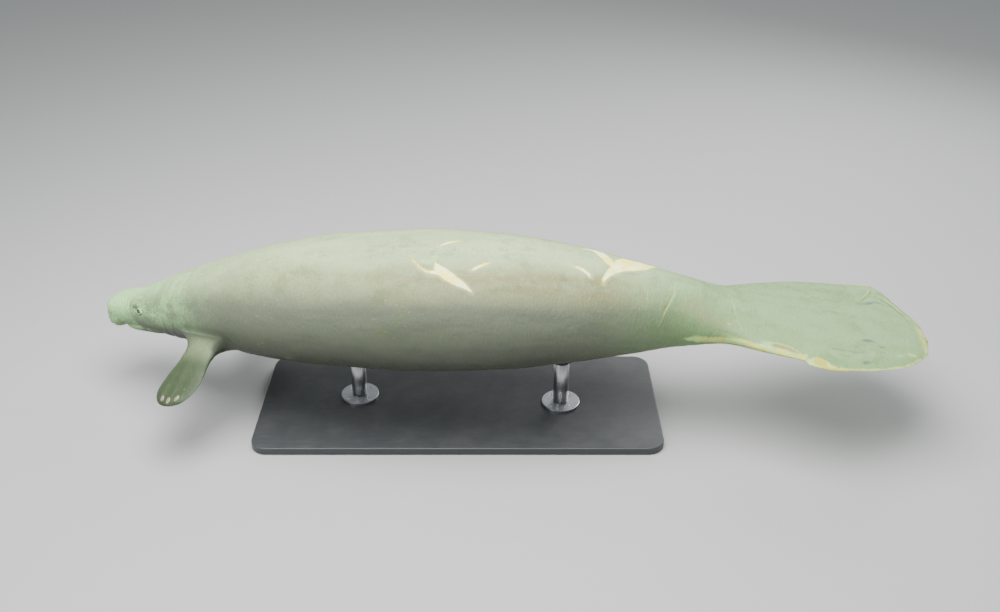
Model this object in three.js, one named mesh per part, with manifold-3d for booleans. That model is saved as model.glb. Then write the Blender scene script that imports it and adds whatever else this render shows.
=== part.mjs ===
// A manatee at life size, as a still display model: it swims level over a flat base, held by two short
// rods, with its head dipped and turned a little to its right, its flippers spread and its tail lowered.
// Millimetres, +Z up. The head points to -X and the animal's right side to +Y. The origin is the centre
// of the base's underside.
import * as THREE from "three";
import { mergeVertices } from "three/addons/utils/BufferGeometryUtils.js";
import Module from "manifold-3d";

const wasm = await Module();
wasm.setup();

// Driving dimensions
const LENGTH = 3000; // along the spine, from the lips to the tip of the tail
const BODY_HEIGHT = 450; // of the spine above the floor at mid body
const MID_BODY = 0.45; // the share of the length that stands over the origin
const GAP = 0.3; // between pieces that touch
const SECTORS = 40; // points round each ring of the body
const WALK_STEPS = 300; // small steps in which a bent middle line is walked

// The pose at shares of the length, in degrees: pitch is how steeply the spine rises towards the tail,
// and yaw how far it turns towards the animal's right on the way to the tail.
const POSE = [
  { at: 0.0, pitch: 10, yaw: -22 },
  { at: 0.1, pitch: 11, yaw: -18 },
  { at: 0.2, pitch: 8, yaw: -10 },
  { at: 0.35, pitch: 3, yaw: -5 },
  { at: 0.5, pitch: 0, yaw: -3 },
  { at: 0.65, pitch: -3, yaw: -2 },
  { at: 0.8, pitch: -4, yaw: -4 },
  { at: 1.0, pitch: -6, yaw: -5 },
];

// How far the skin lies from the spine to each side, above and below, at shares of the length. The
// section is a superellipse: square 2 is an ellipse, more is boxier, less has sharper side edges. The
// section leans by some degrees, its upper edge forward.
const SECTIONS = [
  { name: "lips", at: 0.0, side: 74, top: 44, under: 44, square: 2.6, lean: 20 },
  { name: "snout", at: 0.02, side: 80, top: 53, under: 54, square: 2.5, lean: 16 },
  { name: "mouth_corner", at: 0.04, side: 83, top: 64, under: 65, square: 2.3, lean: 8 },
  { name: "eye", at: 0.065, side: 98, top: 82, under: 84, square: 2.15, lean: 2 },
  { name: "skull", at: 0.095, side: 121, top: 109, under: 106, square: 2.0, lean: 0 },
  { name: "neck", at: 0.125, side: 146, top: 134, under: 122, square: 2.0, lean: 0 },
  { name: "shoulder", at: 0.175, side: 194, top: 172, under: 148, square: 2.0, lean: 0 },
  { name: "chest", at: 0.235, side: 242, top: 204, under: 180, square: 2.1, lean: 0 },
  { name: "ribs", at: 0.32, side: 280, top: 228, under: 206, square: 2.15, lean: 0 },
  { name: "belly", at: 0.42, side: 296, top: 238, under: 218, square: 2.15, lean: 0 },
  { name: "flank", at: 0.5, side: 284, top: 230, under: 212, square: 2.1, lean: 0 },
  { name: "loin", at: 0.58, side: 246, top: 202, under: 186, square: 2.05, lean: 0 },
  { name: "rump", at: 0.66, side: 190, top: 158, under: 144, square: 2.0, lean: 0 },
  { name: "stock", at: 0.715, side: 152, top: 120, under: 108, square: 2.0, lean: 0 },
  { name: "paddle_root", at: 0.755, side: 160, top: 86, under: 76, square: 1.9, lean: 0 },
  { name: "paddle_flare", at: 0.81, side: 232, top: 55, under: 47, square: 1.75, lean: 0 },
  { name: "paddle_wide", at: 0.875, side: 298, top: 35, under: 30, square: 1.65, lean: 0 },
  { name: "paddle_widest", at: 0.925, side: 308, top: 25, under: 22, square: 1.65, lean: 0 },
  { name: "paddle_tip", at: 1.0, side: 300, top: 13, under: 12, square: 1.8, lean: 0 },
];

// The paddle isn't quite alike on both sides: at shares of the length, by how much its right and left
// halves are wider than the section, and how far the right edge is turned up, to a soft corner.
const PADDLE_SIDES = [
  { at: 0.0, right: 0, left: 0, curl: 0 },
  { at: 0.74, right: 0, left: 0, curl: 0 },
  { at: 0.79, right: 16, left: 0, curl: 0 },
  { at: 0.83, right: 18, left: 0, curl: 0 },
  { at: 0.87, right: 12, left: 0, curl: 0 },
  { at: 0.9, right: 13, left: -22, curl: 0 },
  { at: 0.92, right: 20, left: -30, curl: 4 },
  { at: 0.938, right: 30, left: -33, curl: 11 },
  { at: 0.953, right: 37, left: -31, curl: 18 },
  { at: 0.965, right: 24, left: -29, curl: 16 },
  { at: 0.975, right: 0, left: -24, curl: 10 },
  { at: 0.985, right: -12, left: -18, curl: 4 },
  { at: 1.0, right: 0, left: 0, curl: 0 },
];

// The ends round off over these shares of the length, with these exponents (2 is a plain ellipse).
const SNOUT_END = { over: 0.018, power: 2.6 };
const PADDLE_END = { over: 0.115, power: 2.3 };
const SMALLEST_RING = 0.03; // share of the full section at which an end closes flat

// The body's named lengths, each with its own node.
const LENGTHS = [
  { name: "muzzle", from: 0, to: 0.044, steps: 9, end: "snout" },
  { name: "head", from: 0.044, to: 0.103, steps: 5 },
  { name: "neck", from: 0.103, to: 0.135, steps: 3 },
  { name: "torso_front", from: 0.135, to: 0.32, steps: 8 },
  { name: "torso_middle", from: 0.32, to: 0.5, steps: 6 },
  { name: "torso_rear", from: 0.5, to: 0.66, steps: 6 },
  { name: "tail_stock", from: 0.66, to: 0.75, steps: 5 },
  { name: "tail_paddle", from: 0.75, to: 1, steps: 15, end: "paddle" },
];

// The face. Eggs have half sizes along, wide and tall, set to the side of and above the spine.
const LIP_PAD = { at: 0.0135, side: 36, up: -20, along: 42, wide: 44, tall: 41 };
const JAW = { at: 0.05, side: 0, up: -57, along: 116, wide: 66, tall: 37 };
const NOSTRIL = { at: 0.0035, angle: 62, along: 8, wide: 14, deep: 7, turn: 24 };
const EYE = { at: 0.062, angle: 16, radius: 10, sunk: 4.5 };
const LIDS = { radius: 11, thick: 5.5, flat: 0.75, stretch: 1.2, sunk: 2 };
const EAR_HOLE = { at: 0.09, angle: 14, radius: 3 };

// The flippers, with the root sunk into the chest at an angle above the animal's side.
const FLIPPER = {
  length: 390,
  sunk: 85,
  at: 0.156,
  angle: -32,
  steps: 12,
  sectors: 24,
  end: { over: 0.27, power: 2.4 },
  sections: [
    { at: 0.0, side: 78, top: 44, under: 44, square: 2.0, lean: 0 },
    { at: 0.25, side: 68, top: 36, under: 36, square: 2.0, lean: 0 },
    { at: 0.45, side: 68, top: 27, under: 27, square: 1.9, lean: 0 },
    { at: 0.65, side: 82, top: 20, under: 20, square: 1.8, lean: 0 },
    { at: 0.82, side: 89, top: 15, under: 15, square: 1.75, lean: 0 },
    { at: 1.0, side: 86, top: 9, under: 9, square: 1.8, lean: 0 },
  ],
};
// Each side's pose, in degrees: droop and forward sweep at the root and at the tip, and how far the
// blade's rear edge is turned up.
const FLIPPER_POSE = {
  left: { droop: [4, 20], sweep: [0, 8], twist: 6 },
  right: { droop: [26, 44], sweep: [6, 18], twist: 18 },
};
// A healed notch in the edge of the paddle's left side.
const NOTCH = { at: 0.845, along: 26, wide: 24, inside: 8 };
// The nails lie on the upper face at these shares of the flipper's length and angles round it.
const NAILS = [
  { at: 0.93, angle: 58 },
  { at: 0.955, angle: 90 },
  { at: 0.93, angle: 122 },
];
const NAIL = { along: 13, wide: 8.5, tall: 4, sunk: 0.5 };

// The stand.
const BASE = { length: 1460, width: 600, thick: 28, corner: 60, bevel: 4, corner_steps: 6 };
const ROD = { radius: 28, foot_radius: 70, foot: 10, cone: 26, pad_radius: 56, pad: 26, sides: 28 };
const ROD_PLACES = { front: 0.325, rear: 0.575 };

const SKIN = { color: 0x8f917f, roughness: 0.62, metalness: 0 };
const PALE_SKIN = { color: 0x9ba08a, roughness: 0.6, metalness: 0 };
const EYE_FINISH = { color: 0x15120f, roughness: 0.12, metalness: 0 };
const NAIL_FINISH = { color: 0xb9b3a0, roughness: 0.45, metalness: 0 };
const BASE_FINISH = { color: 0x3a3c3c, roughness: 0.55, metalness: 0 };
const ROD_FINISH = { color: 0x8d9092, roughness: 0.35, metalness: 0.9 };
const PAD_FINISH = { color: 0x1d1e1e, roughness: 0.8, metalness: 0 };

const SIDES = { left: -1, right: 1 };
const UPWARD = new THREE.Vector3(0, 0, 1);
const degrees = THREE.MathUtils.degToRad;

/** A smooth curve through [place, value] knots that doesn't overshoot them. */
function curve(knots) {
  const rise = knots.slice(1).map(([x, y], i) => (y - knots[i][1]) / (x - knots[i][0]));
  const slope = knots.map((_, i) => {
    if (i === 0) return rise[0];
    if (i === rise.length) return rise[i - 1];
    const [before, after] = [rise[i - 1], rise[i]];
    return before * after <= 0 ? 0 : (2 * before * after) / (before + after);
  });
  return (x) => {
    let i = knots.length - 2;
    while (i > 0 && x < knots[i][0]) i -= 1;
    const [[x0, y0], [x1, y1]] = [knots[i], knots[i + 1]];
    const h = x1 - x0;
    const t = (x - x0) / h;
    const [t2, t3] = [t * t, t * t * t];
    return (
      (2 * t3 - 3 * t2 + 1) * y0 +
      (t3 - 2 * t2 + t) * h * slope[i] +
      (3 * t2 - 2 * t3) * y1 +
      (t3 - t2) * h * slope[i + 1]
    );
  };
}

/** The named columns of a table as one function over its `at` column. */
function columns(table, names) {
  const byName = names.map((name) => [name, curve(table.map((row) => [row.at, row[name]]))]);
  return (at) => Object.fromEntries(byName.map(([name, value]) => [name, value(at)]));
}

const SECTION_COLUMNS = ["side", "top", "under", "square", "lean"];
const PADDLE_COLUMNS = ["right", "left", "curl"];

/** How much of the full section is left at a share q of the way into a rounded end. */
function roundedEnd(q, power) {
  const inside = Math.min(1, Math.max(0, q));
  return Math.max(SMALLEST_RING, (1 - inside ** power) ** (1 / power));
}

/** A bent middle line, walked from a point in small steps: the point at a share of its length. */
function walk(start, length, direction) {
  const points = [start.clone()];
  for (let i = 0; i < WALK_STEPS; i++) {
    const step = direction((i + 0.5) / WALK_STEPS).multiplyScalar(length / WALK_STEPS);
    points.push(points[i].clone().add(step));
  }
  return (at) => {
    const place = Math.min(1, Math.max(0, at)) * WALK_STEPS;
    const before = Math.min(WALK_STEPS - 1, Math.floor(place));
    return points[before].clone().lerp(points[before + 1], place - before);
  };
}

/** The frame of the spine at a share of the length: a point with the directions tailward, right and up. */
const spine = (() => {
  const pose = columns(POSE, ["pitch", "yaw"]);
  const direction = (at) => {
    const { pitch, yaw } = pose(at);
    const level = new THREE.Vector3(Math.cos(degrees(yaw)), Math.sin(degrees(yaw)), 0);
    return level.multiplyScalar(Math.cos(degrees(pitch))).addScaledVector(UPWARD, Math.sin(degrees(pitch)));
  };
  const fromLips = walk(new THREE.Vector3(), LENGTH, direction);
  const shift = new THREE.Vector3(0, 0, BODY_HEIGHT).sub(fromLips(MID_BODY));
  return (at) => {
    const along = direction(at);
    const right = UPWARD.clone().cross(along).normalize();
    return { point: fromLips(at).add(shift), along, right, up: along.clone().cross(right) };
  };
})();

/** The body's section at a share of the length, rounded off at both ends. */
const bodySection = (() => {
  const full = columns(SECTIONS, SECTION_COLUMNS);
  const uneven = columns(PADDLE_SIDES, PADDLE_COLUMNS);
  return (at) => {
    const section = { ...full(at), ...uneven(at) };
    const snout = roundedEnd(1 - at / SNOUT_END.over, SNOUT_END.power);
    const paddle = roundedEnd(1 - (1 - at) / PADDLE_END.over, PADDLE_END.power);
    section.side *= snout * paddle;
    section.top *= snout;
    section.under *= snout;
    return section;
  };
})();

/** The point of a section's outline at an angle from its right side, grown by a margin. */
function outlinePoint(frame, section, angle, grow = 0) {
  const { right = 0, left = 0, curl = 0 } = section;
  const [c, s] = [Math.cos(angle), Math.sin(angle)];
  const bend = 2 / section.square;
  const across = Math.sign(c) * Math.abs(c) ** bend * (section.side + (c > 0 ? right : left) + grow);
  const turnedUp = curl * Math.max(0, c) ** (3 * bend);
  const up = Math.sign(s) * Math.abs(s) ** bend * ((s > 0 ? section.top : section.under) + grow);
  return frame.point
    .clone()
    .addScaledVector(frame.right, across)
    .addScaledVector(frame.up, up + turnedUp)
    .addScaledVector(frame.along, -up * Math.tan(degrees(section.lean)));
}

/** One ring of points round a frame. */
function ring(frame, section, sectors, grow = 0) {
  const turn = (2 * Math.PI) / sectors;
  return Array.from({ length: sectors }, (_, j) => outlinePoint(frame, section, turn * j, grow));
}

/** A closed solid from bare numbers of points and triangles. */
function closedSolid(vertProperties, triVerts) {
  return new wasm.Manifold(new wasm.Mesh({ numProp: 3, vertProperties, triVerts }));
}

/** A closed solid through rings of equal count, with each end closed by a fan. */
function loft(rings) {
  const n = rings[0].length;
  const points = rings.flat();
  const middle = (r) => r.reduce((sum, p) => sum.add(p), new THREE.Vector3()).divideScalar(n);
  const [first, last, end] = [points.length, points.length + 1, (rings.length - 1) * n];
  points.push(middle(rings[0]), middle(rings.at(-1)));
  const faces = [];
  for (let j = 0; j < n; j++) {
    const next = (j + 1) % n;
    for (let i = 0; i < rings.length - 1; i++) {
      const [a, b, c, d] = [i * n + j, i * n + next, (i + 1) * n + next, (i + 1) * n + j];
      faces.push(a, b, d, b, c, d);
    }
    faces.push(first, next, j, last, end + j, end + next);
  }
  return closedSolid(new Float32Array(points.flatMap((p) => p.toArray())), new Uint32Array(faces));
}

/** A solid from a three.js geometry, moved by a matrix. */
function solid(geometry, matrix) {
  const bare = geometry.clone().applyMatrix4(matrix);
  bare.deleteAttribute("normal");
  bare.deleteAttribute("uv");
  const merged = mergeVertices(bare, 1e-3);
  return closedSolid(merged.attributes.position.array, new Uint32Array(merged.index.array));
}

/** The closed surface of a solid that scores highest. */
function bestPiece(whole, score) {
  return whole.decompose().reduce((a, b) => (score(b) > score(a) ? b : a));
}

const largest = (whole) => bestPiece(whole, (piece) => piece.volume());
const lowest = (whole) => bestPiece(whole, (piece) => -piece.boundingBox().min[2]);

/** The shares of the length at which a named length of the body has its rings. */
function ringPlaces({ from, to, steps, end }) {
  return Array.from({ length: steps + 1 }, (_, i) => {
    const quarter = ((i / steps) * Math.PI) / 2;
    if (end === "snout") return from + (to - from) * (1 - Math.cos(quarter));
    if (end === "paddle") return from + (to - from) * Math.sin(quarter);
    return from + ((to - from) * i) / steps;
  });
}

/** A named length of the body, drawn in by half the gap at each cut. */
function bodyLength(part) {
  const inset = GAP / 2 / LENGTH;
  const places = ringPlaces(part);
  if (part.from > 0) places[0] += inset;
  if (part.to < 1) places[places.length - 1] -= inset;
  return loft(places.map((at) => ring(spine(at), bodySection(at), SECTORS)));
}

/** The whole body, grown by a margin, to cut what stands on it. */
function wholeBody(grow) {
  const places = LENGTHS.flatMap((part, i) => ringPlaces(part).slice(i ? 1 : 0));
  return loft(places.map((at) => ring(spine(at), bodySection(at), SECTORS, grow)));
}

/** The matrix of a frame, at offsets to the right and up from its point. */
function frameMatrix(frame, across = 0, up = 0) {
  const point = frame.point.clone().addScaledVector(frame.right, across).addScaledVector(frame.up, up);
  return new THREE.Matrix4().makeBasis(frame.along, frame.right, frame.up).setPosition(point);
}

/** An egg with half sizes along, wide and tall, placed by a matrix. */
function egg(matrix, along, wide, tall, detail) {
  const scaled = matrix.clone().multiply(new THREE.Matrix4().makeScale(along, wide, tall));
  return solid(new THREE.SphereGeometry(1, detail, Math.round(detail * 0.7)), scaled);
}

/** An egg of the face, on one side of the spine, grown by a margin. */
function faceEgg(size, out, grow = 0) {
  const detail = 18;
  const matrix = frameMatrix(spine(size.at), out * size.side, size.up);
  return egg(matrix, size.along + grow, size.wide + grow, size.tall + grow, detail);
}

const bodySurface = (at, angle) => outlinePoint(spine(at), bodySection(at), angle);

/** A frame that stands on a surface of shares and angles: its up points out of the surface. */
function standOn(surface, at, angle) {
  const nudge = 0.004;
  const point = surface(at, angle);
  const along = surface(at + nudge, angle).sub(point).normalize();
  const round = surface(at, angle + nudge).sub(point).normalize();
  const up = round.cross(along).normalize();
  return { point, along, right: up.clone().cross(along), up };
}

/** The angle from the animal's right side of a place so many degrees above its left or right side. */
function sideAngle(above, out) {
  return out > 0 ? degrees(above) : Math.PI - degrees(above);
}

/** The eye of one side: the ball, the socket that keeps the gap to it, and a ring of lids. */
function eye(out) {
  const frame = standOn(bodySurface, EYE.at, sideAngle(EYE.angle, out));
  const seat = frameMatrix(frame, 0, -EYE.sunk);
  const [ballDetail, lidRound, lidSegments] = [14, 8, 18];
  const ball = (grow) => egg(seat, EYE.radius + grow, EYE.radius + grow, EYE.radius + grow, ballDetail);
  const lids = solid(
    new THREE.TorusGeometry(LIDS.radius, LIDS.thick, lidRound, lidSegments),
    frameMatrix(frame, 0, -LIDS.sunk).multiply(new THREE.Matrix4().makeScale(LIDS.stretch, 1, LIDS.flat)),
  );
  return { ball: ball(0), socket: ball(GAP), lids };
}

/** The pit of one ear. */
function earHole(out) {
  const frame = standOn(bodySurface, EAR_HOLE.at, sideAngle(EAR_HOLE.angle, out));
  const detail = 8;
  return egg(frameMatrix(frame), EAR_HOLE.radius, EAR_HOLE.radius, EAR_HOLE.radius, detail);
}

/** The slit of one nostril, turned so that the two slits open towards each other at the front. */
function nostril(out) {
  const frame = standOn(bodySurface, NOSTRIL.at, sideAngle(NOSTRIL.angle, out));
  const detail = 12;
  const turned = frameMatrix(frame).multiply(new THREE.Matrix4().makeRotationZ(out * degrees(NOSTRIL.turn)));
  return egg(turned, NOSTRIL.along, NOSTRIL.wide, NOSTRIL.deep, detail);
}

/** The notch in the paddle, a pillar that is cut from the edge of its left side. */
function notch() {
  const edge = standOn(bodySurface, NOTCH.at, Math.PI);
  const [height, sides] = [200, 16];
  const pillar = new THREE.CylinderGeometry(1, 1, height, sides).rotateX(Math.PI / 2);
  const place = { ...spine(NOTCH.at), point: edge.point.addScaledVector(edge.up, NOTCH.wide - NOTCH.inside) };
  const size = new THREE.Matrix4().makeScale(NOTCH.along, NOTCH.wide, 1);
  return solid(pillar, frameMatrix(place).multiply(size));
}

/** One flipper: its surface over shares and angles, and its solid grown by a margin. */
function flipper(out, pose) {
  const { right, along, up } = spine(FLIPPER.at);
  const full = columns(FLIPPER.sections, SECTION_COLUMNS);
  const direction = (t) => {
    const droop = degrees(THREE.MathUtils.lerp(...pose.droop, t));
    const sweep = degrees(THREE.MathUtils.lerp(...pose.sweep, t));
    return new THREE.Vector3()
      .addScaledVector(right, out * Math.cos(droop) * Math.cos(sweep))
      .addScaledVector(along, -Math.cos(droop) * Math.sin(sweep))
      .addScaledVector(up, -Math.sin(droop));
  };
  const chest = bodySurface(FLIPPER.at, sideAngle(FLIPPER.angle, out));
  const middle = walk(chest.addScaledVector(direction(0), -FLIPPER.sunk), FLIPPER.length, direction);
  const frame = (t) => {
    const ahead = direction(t);
    const chord = up.clone().cross(ahead).normalize().applyAxisAngle(ahead, -out * degrees(pose.twist));
    return { point: middle(t), along: ahead, right: chord, up: ahead.clone().cross(chord) };
  };
  const section = (t) => {
    const size = full(t);
    size.side *= roundedEnd(1 - (1 - t) / FLIPPER.end.over, FLIPPER.end.power);
    return size;
  };
  const grown = (grow) => {
    const places = Array.from({ length: FLIPPER.steps + 1 }, (_, i) =>
      Math.sin(((i / FLIPPER.steps) * Math.PI) / 2),
    );
    return loft(places.map((t) => ring(frame(t), section(t), FLIPPER.sectors, grow)));
  };
  return { surface: (t, angle) => outlinePoint(frame(t), section(t), angle), grown };
}

/** The nails of one flipper, small eggs set on its upper face near the tip and cut to the skin. */
function nails(blade) {
  const skin = blade.grown(GAP);
  const detail = 12;
  return NAILS.map(({ at, angle }) => {
    const seat = frameMatrix(standOn(blade.surface, at, degrees(angle)), 0, -NAIL.sunk);
    return largest(egg(seat, NAIL.along, NAIL.wide, NAIL.tall, detail).subtract(skin));
  });
}

/** A turned piece of the stand, upright under a place of the spine, from its radii at its heights. */
function turned(place, profile) {
  const { point } = spine(place);
  const [from, to] = [profile[0][1], profile.at(-1)[1]];
  const outline = [[0, from], ...profile, [0, to]].map(([r, z]) => new THREE.Vector2(r, z));
  const upright = new THREE.Matrix4().makeTranslation(point.x, point.y, 0);
  upright.multiply(new THREE.Matrix4().makeRotationX(Math.PI / 2));
  return solid(new THREE.LatheGeometry(outline, ROD.sides), upright);
}

/** The pieces of one display rod: a foot plate, a round bar, and a pad that is cut to the belly. */
function rodPieces(place, grownBody) {
  const { point } = spine(place);
  const footTop = BASE.thick + GAP + ROD.foot;
  const padFrom = point.z - bodySection(place).under - ROD.pad;
  const coneFrom = padFrom - ROD.cone;
  const foot = turned(place, [
    [ROD.foot_radius, BASE.thick + GAP],
    [ROD.foot_radius, footTop],
  ]);
  const bar = turned(place, [
    [ROD.radius, footTop + GAP],
    [ROD.radius, coneFrom - GAP],
  ]);
  const pad = turned(place, [
    [ROD.radius, coneFrom],
    [ROD.pad_radius, padFrom],
    [ROD.pad_radius, point.z],
  ]);
  return { foot, bar, pad: lowest(pad.subtract(grownBody)) };
}

/** The flat base, with rounded corners and a small bevel. */
function base() {
  const [x, y, r] = [BASE.length / 2 - BASE.bevel, BASE.width / 2 - BASE.bevel, BASE.corner];
  const shape = new THREE.Shape();
  shape.moveTo(-x + r, -y);
  shape.lineTo(x - r, -y);
  shape.absarc(x - r, -y + r, r, -Math.PI / 2, 0);
  shape.lineTo(x, y - r);
  shape.absarc(x - r, y - r, r, 0, Math.PI / 2);
  shape.lineTo(-x + r, y);
  shape.absarc(-x + r, y - r, r, Math.PI / 2, Math.PI);
  shape.lineTo(-x, -y + r);
  shape.absarc(-x + r, -y + r, r, Math.PI, 1.5 * Math.PI);
  const plate = new THREE.ExtrudeGeometry(shape, {
    depth: BASE.thick - 2 * BASE.bevel,
    bevelThickness: BASE.bevel,
    bevelSize: BASE.bevel,
    bevelSegments: 1,
    curveSegments: BASE.corner_steps,
  });
  return solid(plate, new THREE.Matrix4().makeTranslation(0, 0, BASE.bevel));
}

const manatee = new THREE.Group();

/** Adds a solid to the model as a named mesh. */
function add(name, made, finish) {
  const { vertProperties, triVerts } = made.getMesh();
  const geometry = new THREE.BufferGeometry()
    .setAttribute("position", new THREE.BufferAttribute(vertProperties, 3))
    .setIndex(new THREE.BufferAttribute(triVerts, 1));
  geometry.computeVertexNormals();
  const mesh = new THREE.Mesh(geometry, new THREE.MeshStandardMaterial(finish));
  mesh.name = name;
  manatee.add(mesh);
}

const grownBody = wholeBody(GAP);
const lipPads = (grow) => faceEgg(LIP_PAD, -1, grow).add(faceEgg(LIP_PAD, 1, grow));

for (const part of LENGTHS) {
  let made = bodyLength(part);
  if (part.name === "muzzle") {
    made = made.add(lipPads(0)).subtract(nostril(-1)).subtract(nostril(1));
  }
  if (part.name === "head") {
    for (const out of Object.values(SIDES)) {
      const { lids, socket } = eye(out);
      made = made.add(lids).subtract(socket).subtract(earHole(out));
    }
  }
  if (part.name === "tail_paddle") made = made.subtract(notch());
  add(part.name, largest(made), part.name.startsWith("tail") ? PALE_SKIN : SKIN);
}
add("lower_jaw", largest(faceEgg(JAW, 1).subtract(grownBody).subtract(lipPads(GAP))), SKIN);

for (const [side, out] of Object.entries(SIDES)) {
  add(`eye_${side}`, eye(out).ball, EYE_FINISH);
  const blade = flipper(out, FLIPPER_POSE[side]);
  add(`flipper_${side}`, largest(blade.grown(0).subtract(grownBody)), PALE_SKIN);
  nails(blade).forEach((nail, i) => add(`nail_${side}_${i + 1}`, nail, NAIL_FINISH));
}

add("stand_base", base(), BASE_FINISH);
for (const [end, place] of Object.entries(ROD_PLACES)) {
  const { foot, bar, pad } = rodPieces(place, grownBody);
  add(`stand_foot_${end}`, foot, ROD_FINISH);
  add(`stand_rod_${end}`, bar, ROD_FINISH);
  add(`stand_pad_${end}`, pad, PAD_FINISH);
}

export default manatee;
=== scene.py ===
"""The looks of a life-size manatee model on its display stand.

One skin covers every node of flesh. It is a grid of shares of the body's length and angles round it, laid
on the same sections as the solids, with the face, folds, scars and tail worked into its surface, and the
flippers drawn out of it. Eyes, nails, bristles, hairs and the stand are pieces of their own.
Metres, +Z up. The head points to -X and the animal's right side to +Y.
"""

import logging
import math
from collections.abc import Callable, Sequence
from dataclasses import dataclass, field
from enum import Enum

import bmesh
import bpy
import numpy as np
from mathutils import Matrix, Vector, noise


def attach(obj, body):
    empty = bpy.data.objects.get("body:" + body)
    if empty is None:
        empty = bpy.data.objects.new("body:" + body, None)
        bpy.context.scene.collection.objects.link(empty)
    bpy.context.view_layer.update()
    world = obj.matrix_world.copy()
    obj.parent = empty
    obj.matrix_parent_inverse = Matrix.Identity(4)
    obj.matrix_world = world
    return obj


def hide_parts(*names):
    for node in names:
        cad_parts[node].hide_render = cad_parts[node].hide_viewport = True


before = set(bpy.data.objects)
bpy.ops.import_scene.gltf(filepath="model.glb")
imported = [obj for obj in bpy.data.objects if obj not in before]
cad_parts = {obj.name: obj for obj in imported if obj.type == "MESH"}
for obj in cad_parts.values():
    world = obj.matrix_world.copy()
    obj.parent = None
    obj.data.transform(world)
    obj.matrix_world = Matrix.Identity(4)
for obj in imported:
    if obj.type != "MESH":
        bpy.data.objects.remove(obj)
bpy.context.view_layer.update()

log = logging.getLogger("manatee")
MM = 0.001
BODY = "root"
Colour = tuple[float, float, float, float]
Array = np.ndarray
Test = Callable[[Array, Array], Array]
Piece = bpy.types.Object
Material = bpy.types.Material
Tree = bpy.types.NodeTree
Socket = bpy.types.NodeSocket
Mesh = bmesh.types.BMesh
Vert = bmesh.types.BMVert


class Side(Enum):
    """The animal's two sides, as the sign of the way out from its middle."""

    LEFT = -1
    RIGHT = 1

    @property
    def word(self) -> str:
        """The side's name in lower case."""
        return self.name.lower()

    def angle(self, above: float) -> float:
        """The angle in degrees from the right side of a place so many degrees above this side."""
        return above if self is Side.RIGHT else 180.0 - above


class Mark(Enum):
    """The kinds of mark drawn over the skin, by the names of their masks."""

    SCARS = "scars"
    LINES = "lines"
    STAINS = "stains"
    RIM = "rim"
    BLOB = "blob"
    BROWN = "brown"
    TAN = "tan"
    MINT = "mint"


class Slot(Enum):
    """The record's material slots."""

    SKIN = "skin"
    EYE = "eye"
    HORN = "horn"
    BOARD = "stand_board"
    ROD = "stand_rod"
    PAD = "stand_pad"


# Curves and surfaces


class Curve:
    """A smooth curve through knots that doesn't overshoot them."""

    def __init__(self, places: Sequence[float], values: Sequence[float]) -> None:
        """Keeps the knots and works out the slope at each.

        Args:
            places: Rising places of the knots.
            values: The curve's value at each.
        """
        self.x = np.asarray(places, float)
        self.y = np.asarray(values, float)
        rise = np.diff(self.y) / np.diff(self.x)
        before, after = rise[:-1], rise[1:]
        inner = np.zeros_like(before)
        same = before * after > 0
        inner[same] = 2 * before[same] * after[same] / (before + after)[same]
        self.slope = np.concatenate([rise[:1], inner, rise[-1:]])

    def __call__(self, place: Array) -> Array:
        """The curve's value at each place, held at the end knots' places.

        Args:
            place: Places along the curve.

        Returns:
            The values.
        """
        at = np.clip(place, self.x[0], self.x[-1])
        i = np.clip(np.searchsorted(self.x, at, side="right") - 1, 0, len(self.x) - 2)
        h = self.x[i + 1] - self.x[i]
        t = (at - self.x[i]) / h
        t2, t3 = t * t, t * t * t
        start = (2 * t3 - 3 * t2 + 1) * self.y[i] + (t3 - 2 * t2 + t) * h * self.slope[i]
        return start + (3 * t2 - 2 * t3) * self.y[i + 1] + (t3 - t2) * h * self.slope[i + 1]


def smooth_step(low: float, high: float, value: Array) -> Array:
    """0 up to low, 1 from high on, and smooth between them; low may be the higher one."""
    t = np.clip((value - low) / (high - low), 0, 1)
    return t * t * (3 - 2 * t)


def band(low: float, full: float, until: float, high: float, value: Array) -> Array:
    """1 from full until the third place, and smoothly down to 0 at low and high."""
    return smooth_step(low, full, value) * smooth_step(high, until, value)


def soft_max(a: Array, b: Array, softness: Array | float) -> Array:
    """The larger of two values, rounded where they cross."""
    return 0.5 * (a + b + np.sqrt((a - b) ** 2 + softness**2))


def bell(value: Array, width: Array | float) -> Array:
    """1 at nought and falling off smoothly within about two widths."""
    return np.exp(-((value / width) ** 2))


def unit(vectors: Array) -> Array:
    """The vectors at length one."""
    return vectors / np.maximum(np.linalg.norm(vectors, axis=-1, keepdims=True), 1e-12)


def dot(a: Array, b: Array) -> Array:
    """The dot product of two rows of vectors."""
    return np.einsum("...i,...i->...", a, b)


def cloud(points: Array, size: float, layers: int = 1, seed: float = 0.0) -> Array:
    """Smooth noise from about -1 to 1 at points in space.

    Args:
        points: Rows of places in metres.
        size: The size of one lump in metres.
        layers: How many finer layers are added, each half as large and half as strong.
        seed: A shift that gives another pattern.

    Returns:
        One value per point.
    """
    total = np.zeros(len(points))
    for layer in range(layers):
        scaled = points * (2**layer / size) + seed + 17.3 * layer
        total += np.array([noise.noise(row) for row in scaled.tolist()]) / 2**layer
    return total


@dataclass(frozen=True)
class Section:
    """How far the skin lies from a middle line, in millimetres, at a share of its length."""

    at: float
    side: float
    top: float
    under: float
    square: float
    lean: float = 0.0


@dataclass
class Spot:
    """Places on a surface: their share of its length, angle, point and outward direction."""

    at: Array
    angle: Array
    point: Array
    normal: Array


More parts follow.
